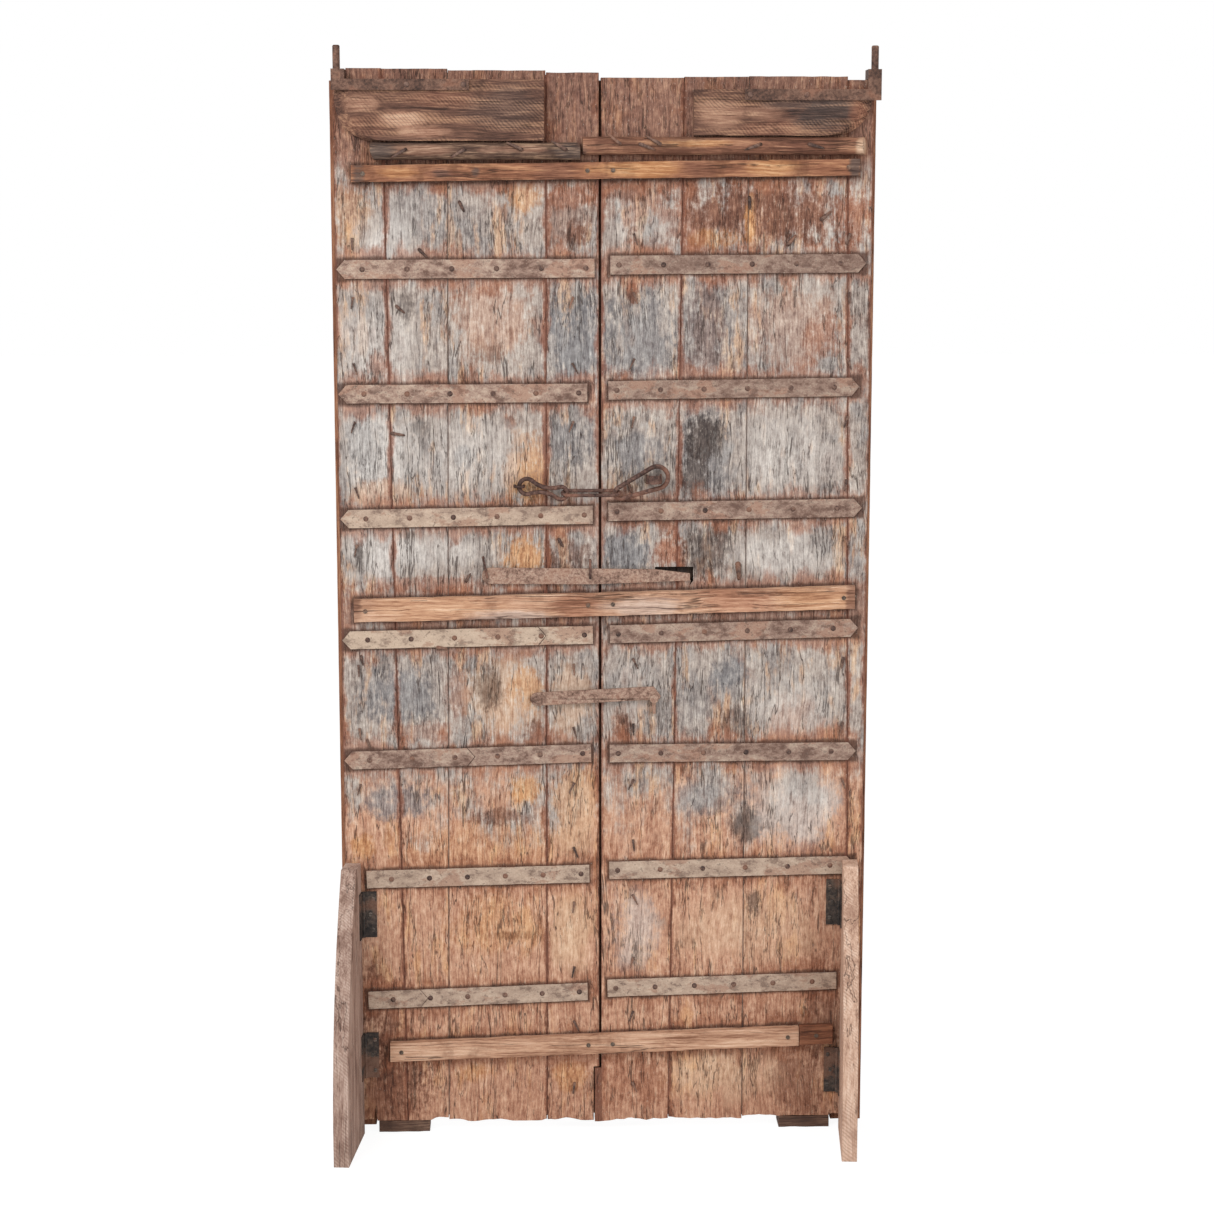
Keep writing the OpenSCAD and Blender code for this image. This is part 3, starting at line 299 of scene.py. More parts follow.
def plank_finish(node, seed):
    """Worn, washed and rust-stained wood for one board, with a dark halo of dirt and painted shade beside the
    straps and battens, and painted shade on the sides of its joints.
    """
    material, shader, point, across, deep, up = new_finish(node + "_wood")
    bent = wander(point, 6.0, (0.022, 0.0, 0.0))
    streaks = speckle(bent, (250, 250, 17), 6, 0.7, seed)
    fibres = speckle(bent, (640, 640, 60), 4, 0.65, seed + 3)
    waves = speckle(bent, (34, 34, 5.0), 6, 0.68, seed + 7)
    clouds = speckle(point, (7, 7, 5), 5, 0.65, 5.0)
    blots = speckle(point, (21, 21, 13), 5, 0.65, seed + 17)
    patches = speckle(point, (11, 11, 6.5), 5, 0.65, seed + 37)
    grit = speckle(point, (380, 380, 150), 4, 0.72, seed + 23)
    scuffs = speckle(point, (90, 90, 60), 6, 0.7, seed + 51)
    grain = streaks * 0.32 + fibres * 0.22 + waves * 0.16 + scuffs * 0.30
    paints = {name: shades(grain, *zip(GRAIN_STEPS, (tint(*tone) for tone in tones)))
              for name, tones in WOOD_PAINTS.items()}

    aged = rise(up + clouds * 0.7 - 0.35, 0.5, 1.05)
    washed = rise(aged * 0.42 + clouds * 0.45 + blots * 0.35 + streaks * 0.35 - 0.45, 0.2, 0.46)
    colour = fade(washed, paints["wood"], paints["wash"])
    colour = fade(rise(blots * 0.5 + patches * 0.5, 0.5, 0.58) * aged * 0.45, colour, paints["slate"])
    colour = fade(rise(patches * 0.5 + waves * 0.5, 0.52, 0.6) * 0.5, colour, paints["honey"])
    shady = rise(1 - clouds * 0.4 - blots * 0.6, 0.53, 0.62)
    colour = fade(shady * (0.3 + 0.3 * aged), colour, paints["umber"])
    front_colour = fade(rise(scuffs * 0.5 + blots * 0.5, 0.44, 0.56) * 0.4, colour, paints["umber"])
    low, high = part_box(node)
    near_stains = [s for s in STAINS if s[0] + s[2] * 1.4 > low.x and s[0] - s[2] * 1.4 < high.x]
    ragged = (blots - 0.5) * 4.5 + (scuffs - 0.5) * 3.0 + (streaks - 0.5) * 2.0
    colour = lay_stains(colour, across, up, ragged, near_stains, paints)

    straps = [name for name in nodes if name.startswith(node.split("_")[0] + "_strap")]
    off = least(off_strips(across, up, straps), off_strips(across, up, BATTENS))
    (foot_a, lean_a), (foot_b, lean_b) = board_edges(node)
    from_left, from_right = across - (foot_a + lean_a * up), (foot_b + lean_b * up) - across
    from_edge = least(from_left, from_right)
    from_rust = from_edge
    if node in [left for left, right in TIGHT_JOINTS]:
        from_rust = from_left
    if node in [right for left, right in TIGHT_JOINTS]:
        from_rust = from_right
    uneven = (blots - 0.5) * 0.14 + (streaks - 0.5) * 0.05
    border = 1 - rise(least(off, from_rust * 3.6) + uneven, 0.002, 0.034)
    colour = fade(border * (0.35 + 0.65 * patches), colour, paints["rust"])
    # A dark halo just outside each strap and batten: dirt caught at their edges, and painted shade where they
    # stand off the planks.
    dirt_and_shade = 1 - rise(off + (grit - 0.5) * 0.012 + (blots - 0.5) * 0.016, 0.001, 0.009)
    colour = fade(dirt_and_shade * 0.75, colour, tint(62, 42, 35))
    seam = 1 - rise(from_rust + (blots - 0.5) * 0.02 + (scuffs - 0.5) * 0.01, 0.0005, 0.005)
    colour = fade(seam * 0.6, colour, tint(116, 72, 58))
    colour = fade(rise(up + (blots - 0.5) * 0.1, 2.05, 2.085) * 0.85, colour,
                  shades(grain, (0.4, tint(74, 43, 33)), (0.5, tint(124, 80, 62)), (0.6, tint(174, 127, 98))))
    colour = fade((1 - rise(up + (blots - 0.5) * 0.2, 0.03, 0.17)) * 0.3, colour, paints["rust"])
    colour = fade(rise(deep, FACE_Y + 0.010, FACE_Y + 0.016), colour, front_colour)
    colour = fade((1 - rise(from_edge, 0.0004, 0.0026)) * 0.45, colour, tint(84, 52, 42))

    hairline = abs(speckle(bent, (62, 62, 5.5), 4, 0.6, seed + 31) - 0.5)
    split = abs(speckle(bent, (21, 21, 1.5), 4, 0.55, seed + 43) - 0.5)
    cracks = most((1 - rise(hairline, 0.002, 0.014)) * rise(patches, 0.44, 0.53) * 0.8,
                  (1 - rise(split, 0.001, 0.006)) * rise(blots, 0.42, 0.52))
    colour = fade(cracks * 0.75, colour, tint(58, 42, 36))
    colour = fade(rise(grit, 0.59, 0.7) * 0.5, colour, tint(80, 58, 48))
    colour = fade(rise(1 - grit, 0.6, 0.72) * 0.4, colour, tint(226, 212, 195))
    # Painted shade on the board's sides inside its joints, left off its end grain and the leaf's outer edges.
    joint_shade = rise(deep, FACE_Y + 0.003, FACE_Y + 0.007) * (1 - rise(deep, FACE_Y + 0.024, FACE_Y + 0.028))
    end_grain = rise(up, high.z - 0.003, high.z - 0.001) + 1 - rise(up, low.z + 0.002, low.z + 0.012)
    if node == PLANKS[0]:
        joint_shade = joint_shade * rise(across, low.x + 0.03, low.x + 0.05)
    if node == PLANKS[-1]:
        joint_shade = joint_shade * (1 - rise(across, high.x - 0.05, high.x - 0.03))
    colour = fade(joint_shade * (1 - least(end_grain, 1)) * 0.9, colour, tint(40, 27, 22))
    relief = streaks * 0.45 + fibres * 0.45 + blots * 0.4 + grit * 0.2 - cracks * 0.7
    end_finish(shader, colour, 0.74 + grit * 0.3, relief, 0.0028)
    return material


WORN_EDGE = 0.0012
BLOCK_MARGIN = 0.004
RAGGED_REACH = 0.05


def worn(node, body, finish, steps, dent, ease=WORN_EDGE, ragged_foot=0.0):
    """The solid cut into a grid of (across, up) steps, dented and rubbed by age, in place of the node.
    A plank's foot can be ragged too, except where a foot block carries it."""
    low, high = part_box(node)
    grid = bmesh.new()
    grid.from_mesh(nodes[node].data)
    bmesh.ops.remove_doubles(grid, verts=grid.verts, dist=0.00001)
    bmesh.ops.dissolve_limit(grid, angle_limit=math.radians(0.4), verts=grid.verts, edges=grid.edges)
    for facing, first, last, size in ((Vector((1, 0, 0)), low.x, high.x, steps[0]),
                                      (Vector((0, 0, 1)), low.z, high.z, steps[1])):
        count = max(1, round((last - first) / size))
        for cut in range(1, count):
            bmesh.ops.bisect_plane(grid, geom=grid.verts[:] + grid.edges[:] + grid.faces[:], dist=0.00002,
                                   plane_co=facing * (first + (last - first) * cut / count), plane_no=facing)
    grid.normal_update()
    blocks = [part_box("left_foot_block"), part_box("right_foot_block")]
    moves = []
    for vertex in grid.verts:
        place = vertex.co
        broad = noise.noise(Vector((place.x * 17, place.y * 17, place.z * 6)))
        small = noise.noise(Vector((place.x * 60, place.y * 60, place.z * 38)))
        sink = dent * max(0.0, 0.5 + 0.4 * broad + 0.4 * small)
        if any(edge.calc_face_angle(0.0) > 0.9 for edge in vertex.link_edges):
            chip = noise.noise(Vector((place.x * 33 + 9, place.y * 33, place.z * 21)))
            sink += dent * 1.6 * max(0.0, chip)
        move = -sink * Vector((0.35 * vertex.normal.x, vertex.normal.y, vertex.normal.z))
        carried = any(a.x - BLOCK_MARGIN < place.x < b.x + BLOCK_MARGIN for a, b in blocks)
        if ragged_foot and place.z < low.z + RAGGED_REACH and not carried:
            bite = (0.25 + noise.noise(Vector((place.x * 16, 3.1, 0.4)))
                    + 0.6 * noise.noise(Vector((place.x * 52, 7.7, 2.2))))
            move.z += ragged_foot * max(0.0, bite) * (1 - (place.z - low.z) / RAGGED_REACH)
        moves.append(move)
    for vertex, move in zip(grid.verts, moves):
        vertex.co += move
    for edge in grid.edges:
        edge.smooth = edge.calc_face_angle(0.0) < 0.6
    for face in grid.faces:
        face.smooth = True
    mesh = bpy.data.meshes.new(node + "_worn")
    grid.to_mesh(mesh)
    grid.free()
    mesh.materials.append(finish)
    board = bpy.data.objects.new(node + "_worn", mesh)
    bpy.context.collection.objects.link(board)
    rub = board.modifiers.new("rubbed_edges", "BEVEL")
    rub.width = ease
    rub.segments = 2
    rub.limit_method = "ANGLE"
    rub.angle_limit = math.radians(50)
    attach(board, body)
    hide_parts(node)


PLANK_STEPS = (0.008, 0.025)
PLANK_DENT = 0.0011
PLANK_BITE = 0.007
for number, plank in enumerate(PLANKS):
    finish = plank_finish(plank, 13.0 * number + 2)
    worn(plank, "door", finish, PLANK_STEPS, PLANK_DENT, ragged_foot=PLANK_BITE)

# The packing: pitch and dirt that has filled the joints between the planks of a leaf, so that no
# light comes through. It lies just below the face and follows each joint, red-brown in most and
# grey in the tight ones.
PACKING_RADIUS = 0.0034
PACKING_SINK = 0.0046
PACKING_FOOT_GAP = 0.012
PACKING_HEAD_GAP = 0.005


def packing_finish(name, dark, light):
    """Lumpy dirt from a dark and a light tone."""
    material, shader, point, across, deep, up = new_finish(name)
    lumps = speckle(point, (260, 260, 60), 4, 0.65, 3.0)
    colour = shades(lumps, (0.4, tint(*dark)), (0.6, tint(*light)))
    end_finish(shader, colour, 0.8 + lumps * 0.2, lumps, 0.002)
    return material


RED_PACKING = packing_finish("joint_packing", (72, 44, 35), (132, 84, 67))
GREY_PACKING = packing_finish("tight_joint_packing", (70, 58, 52), (128, 112, 101))


def bent_rod(name, path, radii, finish, body, sides=10):
    """A wire, nail or cord swept along its path, closed at both ends."""
    path = [Vector(p) for p in path]
    corners, faces = [], []
    for index, here in enumerate(path):
        run = (path[min(index + 1, len(path) - 1)] - path[max(index - 1, 0)]).normalized()
        side = run.cross(Vector((0.31, 0.17, 0.13))).normalized()
        lift = side.cross(run)
        for step in range(sides):
            turn = 2 * math.pi * step / sides
            corners.append(here + radii[index] * (math.cos(turn) * side + math.sin(turn) * lift))
    for ring in range(len(path) - 1):
        for step in range(sides):
            after = (step + 1) % sides
            faces.append((ring * sides + step, ring * sides + after,
                          (ring + 1) * sides + after, (ring + 1) * sides + step))
    faces.append(tuple(range(sides - 1, -1, -1)))
    faces.append(tuple((len(path) - 1) * sides + step for step in range(sides)))
    mesh = bpy.data.meshes.new(name)
    mesh.from_pydata(corners, [], faces)
    for face in mesh.polygons:
        face.use_smooth = len(face.vertices) == 4
    mesh.materials.append(finish)
    rod = bpy.data.objects.new(name, mesh)
    bpy.context.collection.objects.link(rod)
    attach(rod, body)


PACKING_STEPS = 90
# The upper latch's mortise is cut across one joint, where the packing lies behind the mortise's floor
MORTISE_SINK = 0.022
MORTISE_LAP = 0.004
mortise_floor = [v.co.z for v in nodes["right_plank_second"].data.vertices
                 if FACE_Y + PACKING_SINK < v.co.y < FACE_Y + MORTISE_SINK]
MORTISE_LOW, MORTISE_HIGH = min(mortise_floor), max(mortise_floor)
for left, right in zip(PLANKS[:3] + PLANKS[4:7], PLANKS[1:4] + PLANKS[5:8]):
    (_, (foot_a, lean_a)), ((foot_b, lean_b), _) = board_edges(left), board_edges(right)
    low_z = max(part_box(left)[0].z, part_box(right)[0].z) + PACKING_FOOT_GAP
    high_z = min(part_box(left)[1].z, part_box(right)[1].z) - PACKING_HEAD_GAP
    spans = {"packing": (low_z, high_z, PACKING_SINK)}
    if right == "right_plank_second":
        spans = {"packing": (low_z, MORTISE_LOW, PACKING_SINK),
                 "upper_packing": (MORTISE_HIGH, high_z, PACKING_SINK),
                 "mortise_packing": (MORTISE_LOW - MORTISE_LAP, MORTISE_HIGH + MORTISE_LAP, MORTISE_SINK)}
    for part, (start_z, end_z, sink) in spans.items():
        path, radii = [], []
        for step in range(PACKING_STEPS + 1):
            z = start_z + (end_z - start_z) * step / PACKING_STEPS
            lump = noise.noise(Vector((foot_a * 40, 2.0, z * 30)))
            joint_x = (foot_a + lean_a * z + foot_b + lean_b * z) / 2
            path.append((joint_x, FACE_Y + sink - 0.001 * lump, z))
            radii.append(PACKING_RADIUS * (1 + 0.12 * lump))
        filler = GREY_PACKING if (left, right) in TIGHT_JOINTS else RED_PACKING
        bent_rod(f"{right}_{part}", path, radii, filler, "door", sides=8)

# The front stiles and the cover strip: oiled brown wood, nailed on the front of the planks with
# nails driven right through. They back the planks' edges and show past them at both sides.
STILES = ["left_outer_stile", "left_meeting_stile", "right_meeting_stile", "right_outer_stile", "cover_strip"]
ACROSS, UPRIGHT = 0, 2


def brown_wood(name, tones, along, seed, depth=0.0018, stains=(), marks=0.0):
    """Brown wood from dark, middle and light tones, its grain along one axis, ACROSS or UPRIGHT,
    with stains laid on it and the slanting marks of a saw where marks is above 0."""
    material, shader, point, across, deep, up = new_finish(name)
    dark, middle, light = (tint(*tone) for tone in tones)
    reach = [0.0, 0.0, 0.0]
    reach[2 - along] = 0.012
    bent = wander(point, 9.0, tuple(reach))
    fine, broad, grains = [260, 260, 260], [46, 46, 46], [700, 700, 700]
    fine[along], broad[along], grains[along] = 9, 4, 40
    streaks = speckle(bent, tuple(fine), 5, 0.65, seed)
    waves = speckle(bent, tuple(broad), 4, 0.6, seed + 5)
    fibres = speckle(bent, tuple(grains), 3, 0.6, seed + 2)
    clouds = speckle(point, (11, 11, 11), 5, 0.65, seed + 9)
    grit = speckle(point, (300, 300, 300), 4, 0.7, seed + 15)
    grain = streaks * 0.4 + waves * 0.35 + fibres * 0.25
    colour = shades(grain, (0.39, dark), (0.5, middle), (0.61, light))
    colour = fade(rise(clouds, 0.52, 0.66) * 0.55, colour, dark)
    ragged = (clouds - 0.5) * 3.5 + (streaks - 0.5) * 3.0
    paints = {paint: shades(grain, *zip(GRAIN_STEPS, (tint(*tone) for tone in WOOD_PAINTS[paint])))
              for paint in {stain[5] for stain in stains}}
    colour = lay_stains(colour, across, up, ragged, stains, paints)
    split = abs(speckle(bent, tuple(0.09 * f for f in fine), 4, 0.55, seed + 13) - 0.5)
    cracks = (1 - rise(split, 0.001, 0.008)) * rise(clouds, 0.42, 0.52)
    colour = fade(cracks * 0.7, colour, tint(58, 38, 30))
    colour = fade(rise(grit, 0.6, 0.72) * 0.45, colour, tint(76, 50, 40))
    relief = streaks * 0.5 + waves * 0.3 + fibres * 0.3 - cracks * 0.7
    if marks:
        saw = point.make("ShaderNodeTexWave", {"bands_direction": "DIAGONAL"},
                         {"Vector": wander(point, 14.0, (0.016, 0.016, 0.016)), "Scale": 74.0,
                          "Distortion": 2.5, "Detail": 4.0, "Detail Scale": 0.8})
        sawn = rise(saw, 0.5, 0.95) * rise(clouds * 0.5 + waves * 0.5, 0.45, 0.56)
        colour = fade(sawn * marks, colour, dark)
        colour = fade(rise(1 - saw, 0.6, 0.95) * rise(waves, 0.47, 0.58) * marks * 0.6, colour, light)
        relief = relief + saw * marks * 0.35
    end_finish(shader, colour, 0.68 + grit * 0.3, relief, depth)
    return material


STILE_WOOD = brown_wood("stile_wood", ((92, 56, 42), (146, 98, 74), (190, 142, 110)), UPRIGHT, 4.0)
STILE_STEPS = (0.02, 0.03)
STILE_DENT = 0.0012
for stile in STILES:
    worn(stile, "door", STILE_WOOD, STILE_STEPS, STILE_DENT)

# The top cleats: thick rough-sawn boards nailed across the head of each leaf, their lower outer
# corner rounded and chamfered. The saw has left slanting marks over dark stained wood.
CLEAT_STAINS = [
    (-0.490, 2.180, 0.035, 0.016, 0.45, "wood"), (-0.410, 2.150, 0.050, 0.016, 0.55, "wood"),
    (-0.330, 2.190, 0.070, 0.018, 0.60, "umber"), (-0.200, 2.170, 0.080, 0.045, 0.45, "soot"),
    (-0.480, 2.135, 0.040, 0.024, 0.60, "umber"), (-0.360, 2.125, 0.050, 0.012, 0.50, "wood"),
    (0.235, 2.165, 0.045, 0.030, 0.35, "wood"), (0.330, 2.132, 0.050, 0.018, 0.70, "umber"),
    (0.450, 2.165, 0.060, 0.036, 0.85, "soot"), (0.370, 2.185, 0.060, 0.016, 0.55, "soot"),
    (0.520, 2.150, 0.024, 0.040, 0.45, "rust"), (0.320, 2.165, 0.040, 0.014, 0.30, "wood"),
]
CLEAT_WOOD = brown_wood("cleat_wood", ((54, 37, 31), (105, 74, 61), (168, 128, 101)),
                        ACROSS, 6.0, 0.0026, CLEAT_STAINS, marks=0.4)
CLEAT_STEPS = (0.012, 0.010)
CLEAT_DENT = 0.0012
for cleat in ("left_top_cleat", "right_top_cleat"):
    worn(cleat, "door", CLEAT_WOOD, CLEAT_STEPS, CLEAT_DENT)

# The top bars: split poles with a flat back, dark at the ends and paler where the bark came off,
# nailed under the cleats. Each nail was driven through and bent over on the pole.
POLE_STAINS = [
    (-0.380, 2.088, 0.070, 0.010, 0.35, "wood"), (-0.180, 2.090, 0.070, 0.009, 0.40, "wood"),
    (-0.455, 2.085, 0.030, 0.020, 0.80, "soot"), (-0.075, 2.085, 0.040, 0.020, 0.75, "soot"),
    (-0.010, 2.098, 0.040, 0.020, 0.60, "umber"), (0.170, 2.102, 0.080, 0.010, 0.50, "honey"),
    (0.523, 2.098, 0.013, 0.020, 0.90, "cream"), (0.400, 2.092, 0.060, 0.014, 0.50, "umber"),
]
LEFT_POLE = brown_wood("left_pole_wood", ((42, 29, 25), (90, 67, 56), (170, 138, 112)),
                       ACROSS, 8.0, 0.0026, POLE_STAINS)
RIGHT_POLE = brown_wood("right_pole_wood", ((78, 48, 37), (136, 93, 73), (186, 140, 108)),
                        ACROSS, 15.0, 0.0026, POLE_STAINS)
POLE_STEPS = (0.012, 0.008)
POLE_DENT = 0.0022
POLE_EASE = 0.002
for bar, finish in (("left_top_bar", LEFT_POLE), ("right_top_bar", RIGHT_POLE)):
    worn(bar, "door", finish, POLE_STEPS, POLE_DENT, ease=POLE_EASE)


def rusted_iron(name, tones, seed, depth=0.0009, worn_tone=(206, 190, 170), worn_share=0.45):
    """Old iron from dark, middle and light tones: brown rust over scale, with pits and pale worn specks."""
    material, shader, point, across, deep, up = new_finish(name)
    dark, middle, light = (tint(*tone) for tone in tones)
    grit = speckle(point, (420, 420, 420), 4, 0.7, seed)
    pits = speckle(point, (150, 150, 150), 4, 0.6, seed + 3)
    runs = speckle(point, (13, 13, 18), 4, 0.6, seed + 7)
    colour = shades(grit * 0.25 + pits * 0.35 + runs * 0.4, (0.41, dark), (0.5, middle), (0.59, light))
    colour = fade(rise(runs, 0.52, 0.62) * 0.45, colour, tint(128, 84, 64))
    colour = fade(rise(pits, 0.59, 0.68) * 0.5, colour, dark)
    colour = fade(rise(grit, 0.61, 0.7) * 0.6, colour, dark)
    colour = fade(rise(1 - grit, 0.6, 0.72) * worn_share, colour, tint(*worn_tone))
    end_finish(shader, colour, 0.5 + grit * 0.3, grit * 0.45 + pits * 0.55, depth)
    shader.inputs["Metallic"].default_value = 0.12
    return material


NAIL_IRON = rusted_iron("nail_iron", ((54, 42, 39), (98, 74, 65), (144, 116, 100)), 21.0)


def bent_nail(name, x, y, z, turn, length, thick):
    """A nail that comes out of the face at y and is hammered over flat, its point back in the wood."""
    way = Vector((math.cos(turn), 0, math.sin(turn)))
    start = Vector((x, y, z))
    path = [start + way * (length * share) + Vector((0, lift * thick, 0))
            for share, lift in ((0, 3.0), (0, -0.3), (0.10, -0.85), (0.4, -0.8), (0.75, -0.45), (1.0, 0.9))]
    radii = [thick * share for share in (1.0, 1.05, 1.1, 0.95, 0.75, 0.4)]
    bent_rod(name, path, radii, NAIL_IRON, "door")


BAR_NAIL_THICK = 0.0036
BAR_NAIL_LENGTH = 0.034
BAR_NAIL_SINK = 0.001
BAR_NAIL_RISE = 0.003
# Nails on each bar: share of the bar's length, turn in degrees
BAR_NAILS = {
    "left_top_bar": ((0.17, -150), (0.45, -150), (0.72, 155), (0.93, 150)),
    "right_top_bar": ((0.13, 140), (0.20, -20), (0.27, 150), (0.62, -160), (0.79, -15)),
}
for bar, places in BAR_NAILS.items():
    low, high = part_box(bar)
    for count, (share, turn) in enumerate(places):
        bent_nail(f"{bar}_nail_{count + 1}", low.x + share * (high.x - low.x), low.y + BAR_NAIL_SINK,
                  (low.z + high.z) / 2 + BAR_NAIL_RISE, math.radians(turn), BAR_NAIL_LENGTH, BAR_NAIL_THICK)

# The pivot irons: forged straps on the cleats, turned up and over the leaf's corner into a base
# that carries the round pin which turned in the lintel. Two round-headed nails hold each strap.
PIVOT_IRON = rusted_iron("pivot_iron", ((54, 38, 32), (98, 71, 59), (140, 108, 91)), 33.0, worn_share=0.25)


def dress(node, material):
    """Gives a solid its finish in place of the plain one."""
    nodes[node].data.materials.clear()
    nodes[node].data.materials.append(material)


def ease_edges(node, width):
    """Rounds a solid's edges as the hammer and handling would."""
    weld = nodes[node].modifiers.new("weld", "WELD")
    weld.merge_threshold = 0.00001
    ease = nodes[node].modifiers.new("rubbed_edges", "BEVEL")
    ease.width = width
    ease.segments = 2
    ease.limit_method = "ANGLE"
    ease.angle_limit = math.radians(35)


def round_head(name, x, y, z, radius, lift, finish, body, slotted=False):
    """A low domed nail head on a face that looks along -Y, or two halves of one beside a screw's slot."""
    sides, rings = 14, 4
    half_slot = 0.14 * radius if slotted else 0.0
    corners, faces = [], []
    spans = ((0.0, math.pi), (math.pi, 2 * math.pi)) if slotted else ((0.0, 2 * math.pi),)
    for begin, end in spans:
        count = sides // 2 + 1 if slotted else sides
        aside = half_slot * (1 if begin == 0.0 else -1)
        first = len(corners)
        for ring in range(rings):
            spread = math.cos(0.5 * math.pi * ring / rings)
            height = 0.0 if ring == 0 else lift * (0.4 + 0.6 * math.sin(0.5 * math.pi * ring / rings))
            for step in range(count):
                turn = begin + (end - begin) * step / (sides // 2 if slotted else sides)
                corners.append((x + radius * spread * math.cos(turn), y - height,
                                z + aside + radius * spread * math.sin(turn)))
        last_step = count - 1 if slotted else count
        for ring in range(rings - 1):
            for step in range(last_step):
                after = (step + 1) % count
                a, b = first + ring * count, first + (ring + 1) * count
                faces.append((a + step, a + after, b + after, b + step))
        top = first + (rings - 1) * count
        faces.append(tuple(range(top, top + count)))
        faces.append(tuple(range(first + count - 1, first - 1, -1)))
        if slotted:
            faces.append(tuple([first + r * count for r in range(rings)][::-1]
                               + [first + r * count + count - 1 for r in range(rings)]))
    mesh = bpy.data.meshes.new(name)
    mesh.from_pydata(corners, [], faces)
    for face in mesh.polygons:
        face.use_smooth = len(face.vertices) == 4
    mesh.materials.append(finish)
    head = bpy.data.objects.new(name, mesh)
    bpy.context.collection.objects.link(head)
    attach(head, body)


# Where the nails of each strap stand, across, the first of them near the strap's end
PIVOT_NAILS = {"left": (-0.285, -0.400), "right": (0.295, 0.410)}
PIVOT_NAIL_RADIUS = 0.006
PIVOT_NAIL_LIFT = 0.0022
PIVOT_END_REACH = 0.02
PIVOT_EASE = 0.0018
for side, places in PIVOT_NAILS.items():
    pivot = f"{side}_pivot_iron"
    dress(pivot, PIVOT_IRON)
    ease_edges(pivot, PIVOT_EASE)
    corners = [v.co for v in nodes[pivot].data.vertices]
    strap_low = min(c.z for c in corners)
    strap_high = max(c.z for c in corners if abs(c.x - places[0]) < PIVOT_END_REACH)
    for count, x in enumerate(places):
        round_head(f"{pivot}_nail_{count + 1}", x, min(c.y for c in corners), (strap_low + strap_high) / 2,
                   PIVOT_NAIL_RADIUS, PIVOT_NAIL_LIFT, NAIL_IRON, "door")

# The straps: flat iron bands hammered thin and nailed across the planks, pointed at the outer end,
# grey-brown with rust and specks of old wash. Their nails have low domed heads, and the ends of
# longer nails come through the planks between them and are bent over.
def strap_finish(name, seed):
    """Band iron: grey-brown with fine pits, pale specks and rusty stretches, tan on the lowest straps
    and half way up the left leaf, and duskier on the right leaf above the lowest straps."""
    material, shader, point, across, deep, up = new_finish(name)
    grit = speckle(point, (310, 310, 310), 4, 0.72, seed)
    pits = speckle(point, (120, 120, 150), 4, 0.65, seed + 3)
    runs = speckle(point, (11, 11, 20), 5, 0.65, seed + 7)
    patches = speckle(point, (34, 34, 60), 4, 0.65, seed + 11)
    colour = shades(runs * 0.4 + patches * 0.35 + pits * 0.25, (0.41, tint(108, 82, 71)),
                    (0.49, tint(150, 124, 110)), (0.58, tint(188, 166, 148)))
    low_tan = 1 - rise(up, 0.6, 0.8)
    left_tan = (1 - rise(across, -0.06, 0.0)) * (1 - rise(abs(up - 1.16), 0.12, 0.26))
    colour = fade(most(low_tan * 0.6, left_tan) * (0.4 + 0.6 * patches), colour, tint(198, 177, 156))
    dusk = rise(across, -0.02, 0.06) * rise(up, 0.72, 0.85) * (0.12 + 0.14 * rise(up, 1.3, 1.7))
    colour = fade(dusk * (0.5 + patches), colour, tint(88, 66, 57))
    colour = fade(rise(runs, 0.53, 0.6) * 0.55, colour, tint(142, 98, 78))
    colour = fade(rise(1 - patches, 0.54, 0.62) * 0.4, colour, tint(92, 70, 61))
    colour = fade(rise(pits, 0.57, 0.66) * 0.55, colour, tint(84, 65, 57))
    colour = fade(rise(grit, 0.58, 0.68) * 0.55, colour, tint(78, 60, 53))
    colour = fade(rise(1 - grit, 0.59, 0.7) * 0.5, colour, tint(212, 198, 178))
    end_finish(shader, colour, 0.55 + grit * 0.25, grit * 0.4 + pits * 0.6, 0.0014)
    shader.inputs["Metallic"].default_value = 0.08
    return material


STRAP_IRON = strap_finish("strap_iron", 41.0)
STRAP_COUNT = 7
STRAP_STEPS = (0.013, 0.02)
STRAP_DENT = 0.0008
STRAP_EASE = 0.0007
for number in range(1, STRAP_COUNT + 1):
    for side in ("left", "right"):
        strap = f"{side}_strap_{number}"
        worn(strap, "door", STRAP_IRON, STRAP_STEPS, STRAP_DENT, ease=STRAP_EASE)
dress("strap_nails", NAIL_IRON)
dress("stile_nails", NAIL_IRON)
PLANK_NAIL_SINK = 0.0004
# Nails bent over on the planks: across, up, turn in degrees, length, thickness
PLANK_NAILS = [
    (-0.296, 1.985, -65, 0.024, 0.0034), (-0.379, 1.889, -45, 0.026, 0.0034),
    (-0.427, 1.774, -40, 0.024, 0.0032), (0.297, 1.994, -85, 0.026, 0.0036),
    (0.378, 1.899, 50, 0.028, 0.0038), (0.446, 1.950, 40, 0.028, 0.0040),
    (-0.440, 1.513, -10, 0.030, 0.0034), (-0.351, 1.063, -8, 0.024, 0.0040),
    (0.280, 1.236, -86, 0.036, 0.0058), (0.052, 1.404, -75, 0.020, 0.0030),
    (-0.289, 1.203, 60, 0.020, 0.0030), (-0.095, 1.290, -60, 0.020, 0.0034),
    (-0.510, 1.045, -80, 0.022, 0.0028), (-0.500, 0.866, -70, 0.022, 0.0028),
]
for count, (x, z, turn, length, thick) in enumerate(PLANK_NAILS):
    bent_nail(f"plank_nail_{count + 1}", x, FACE_Y + PLANK_NAIL_SINK, z, math.radians(turn), length, thick)

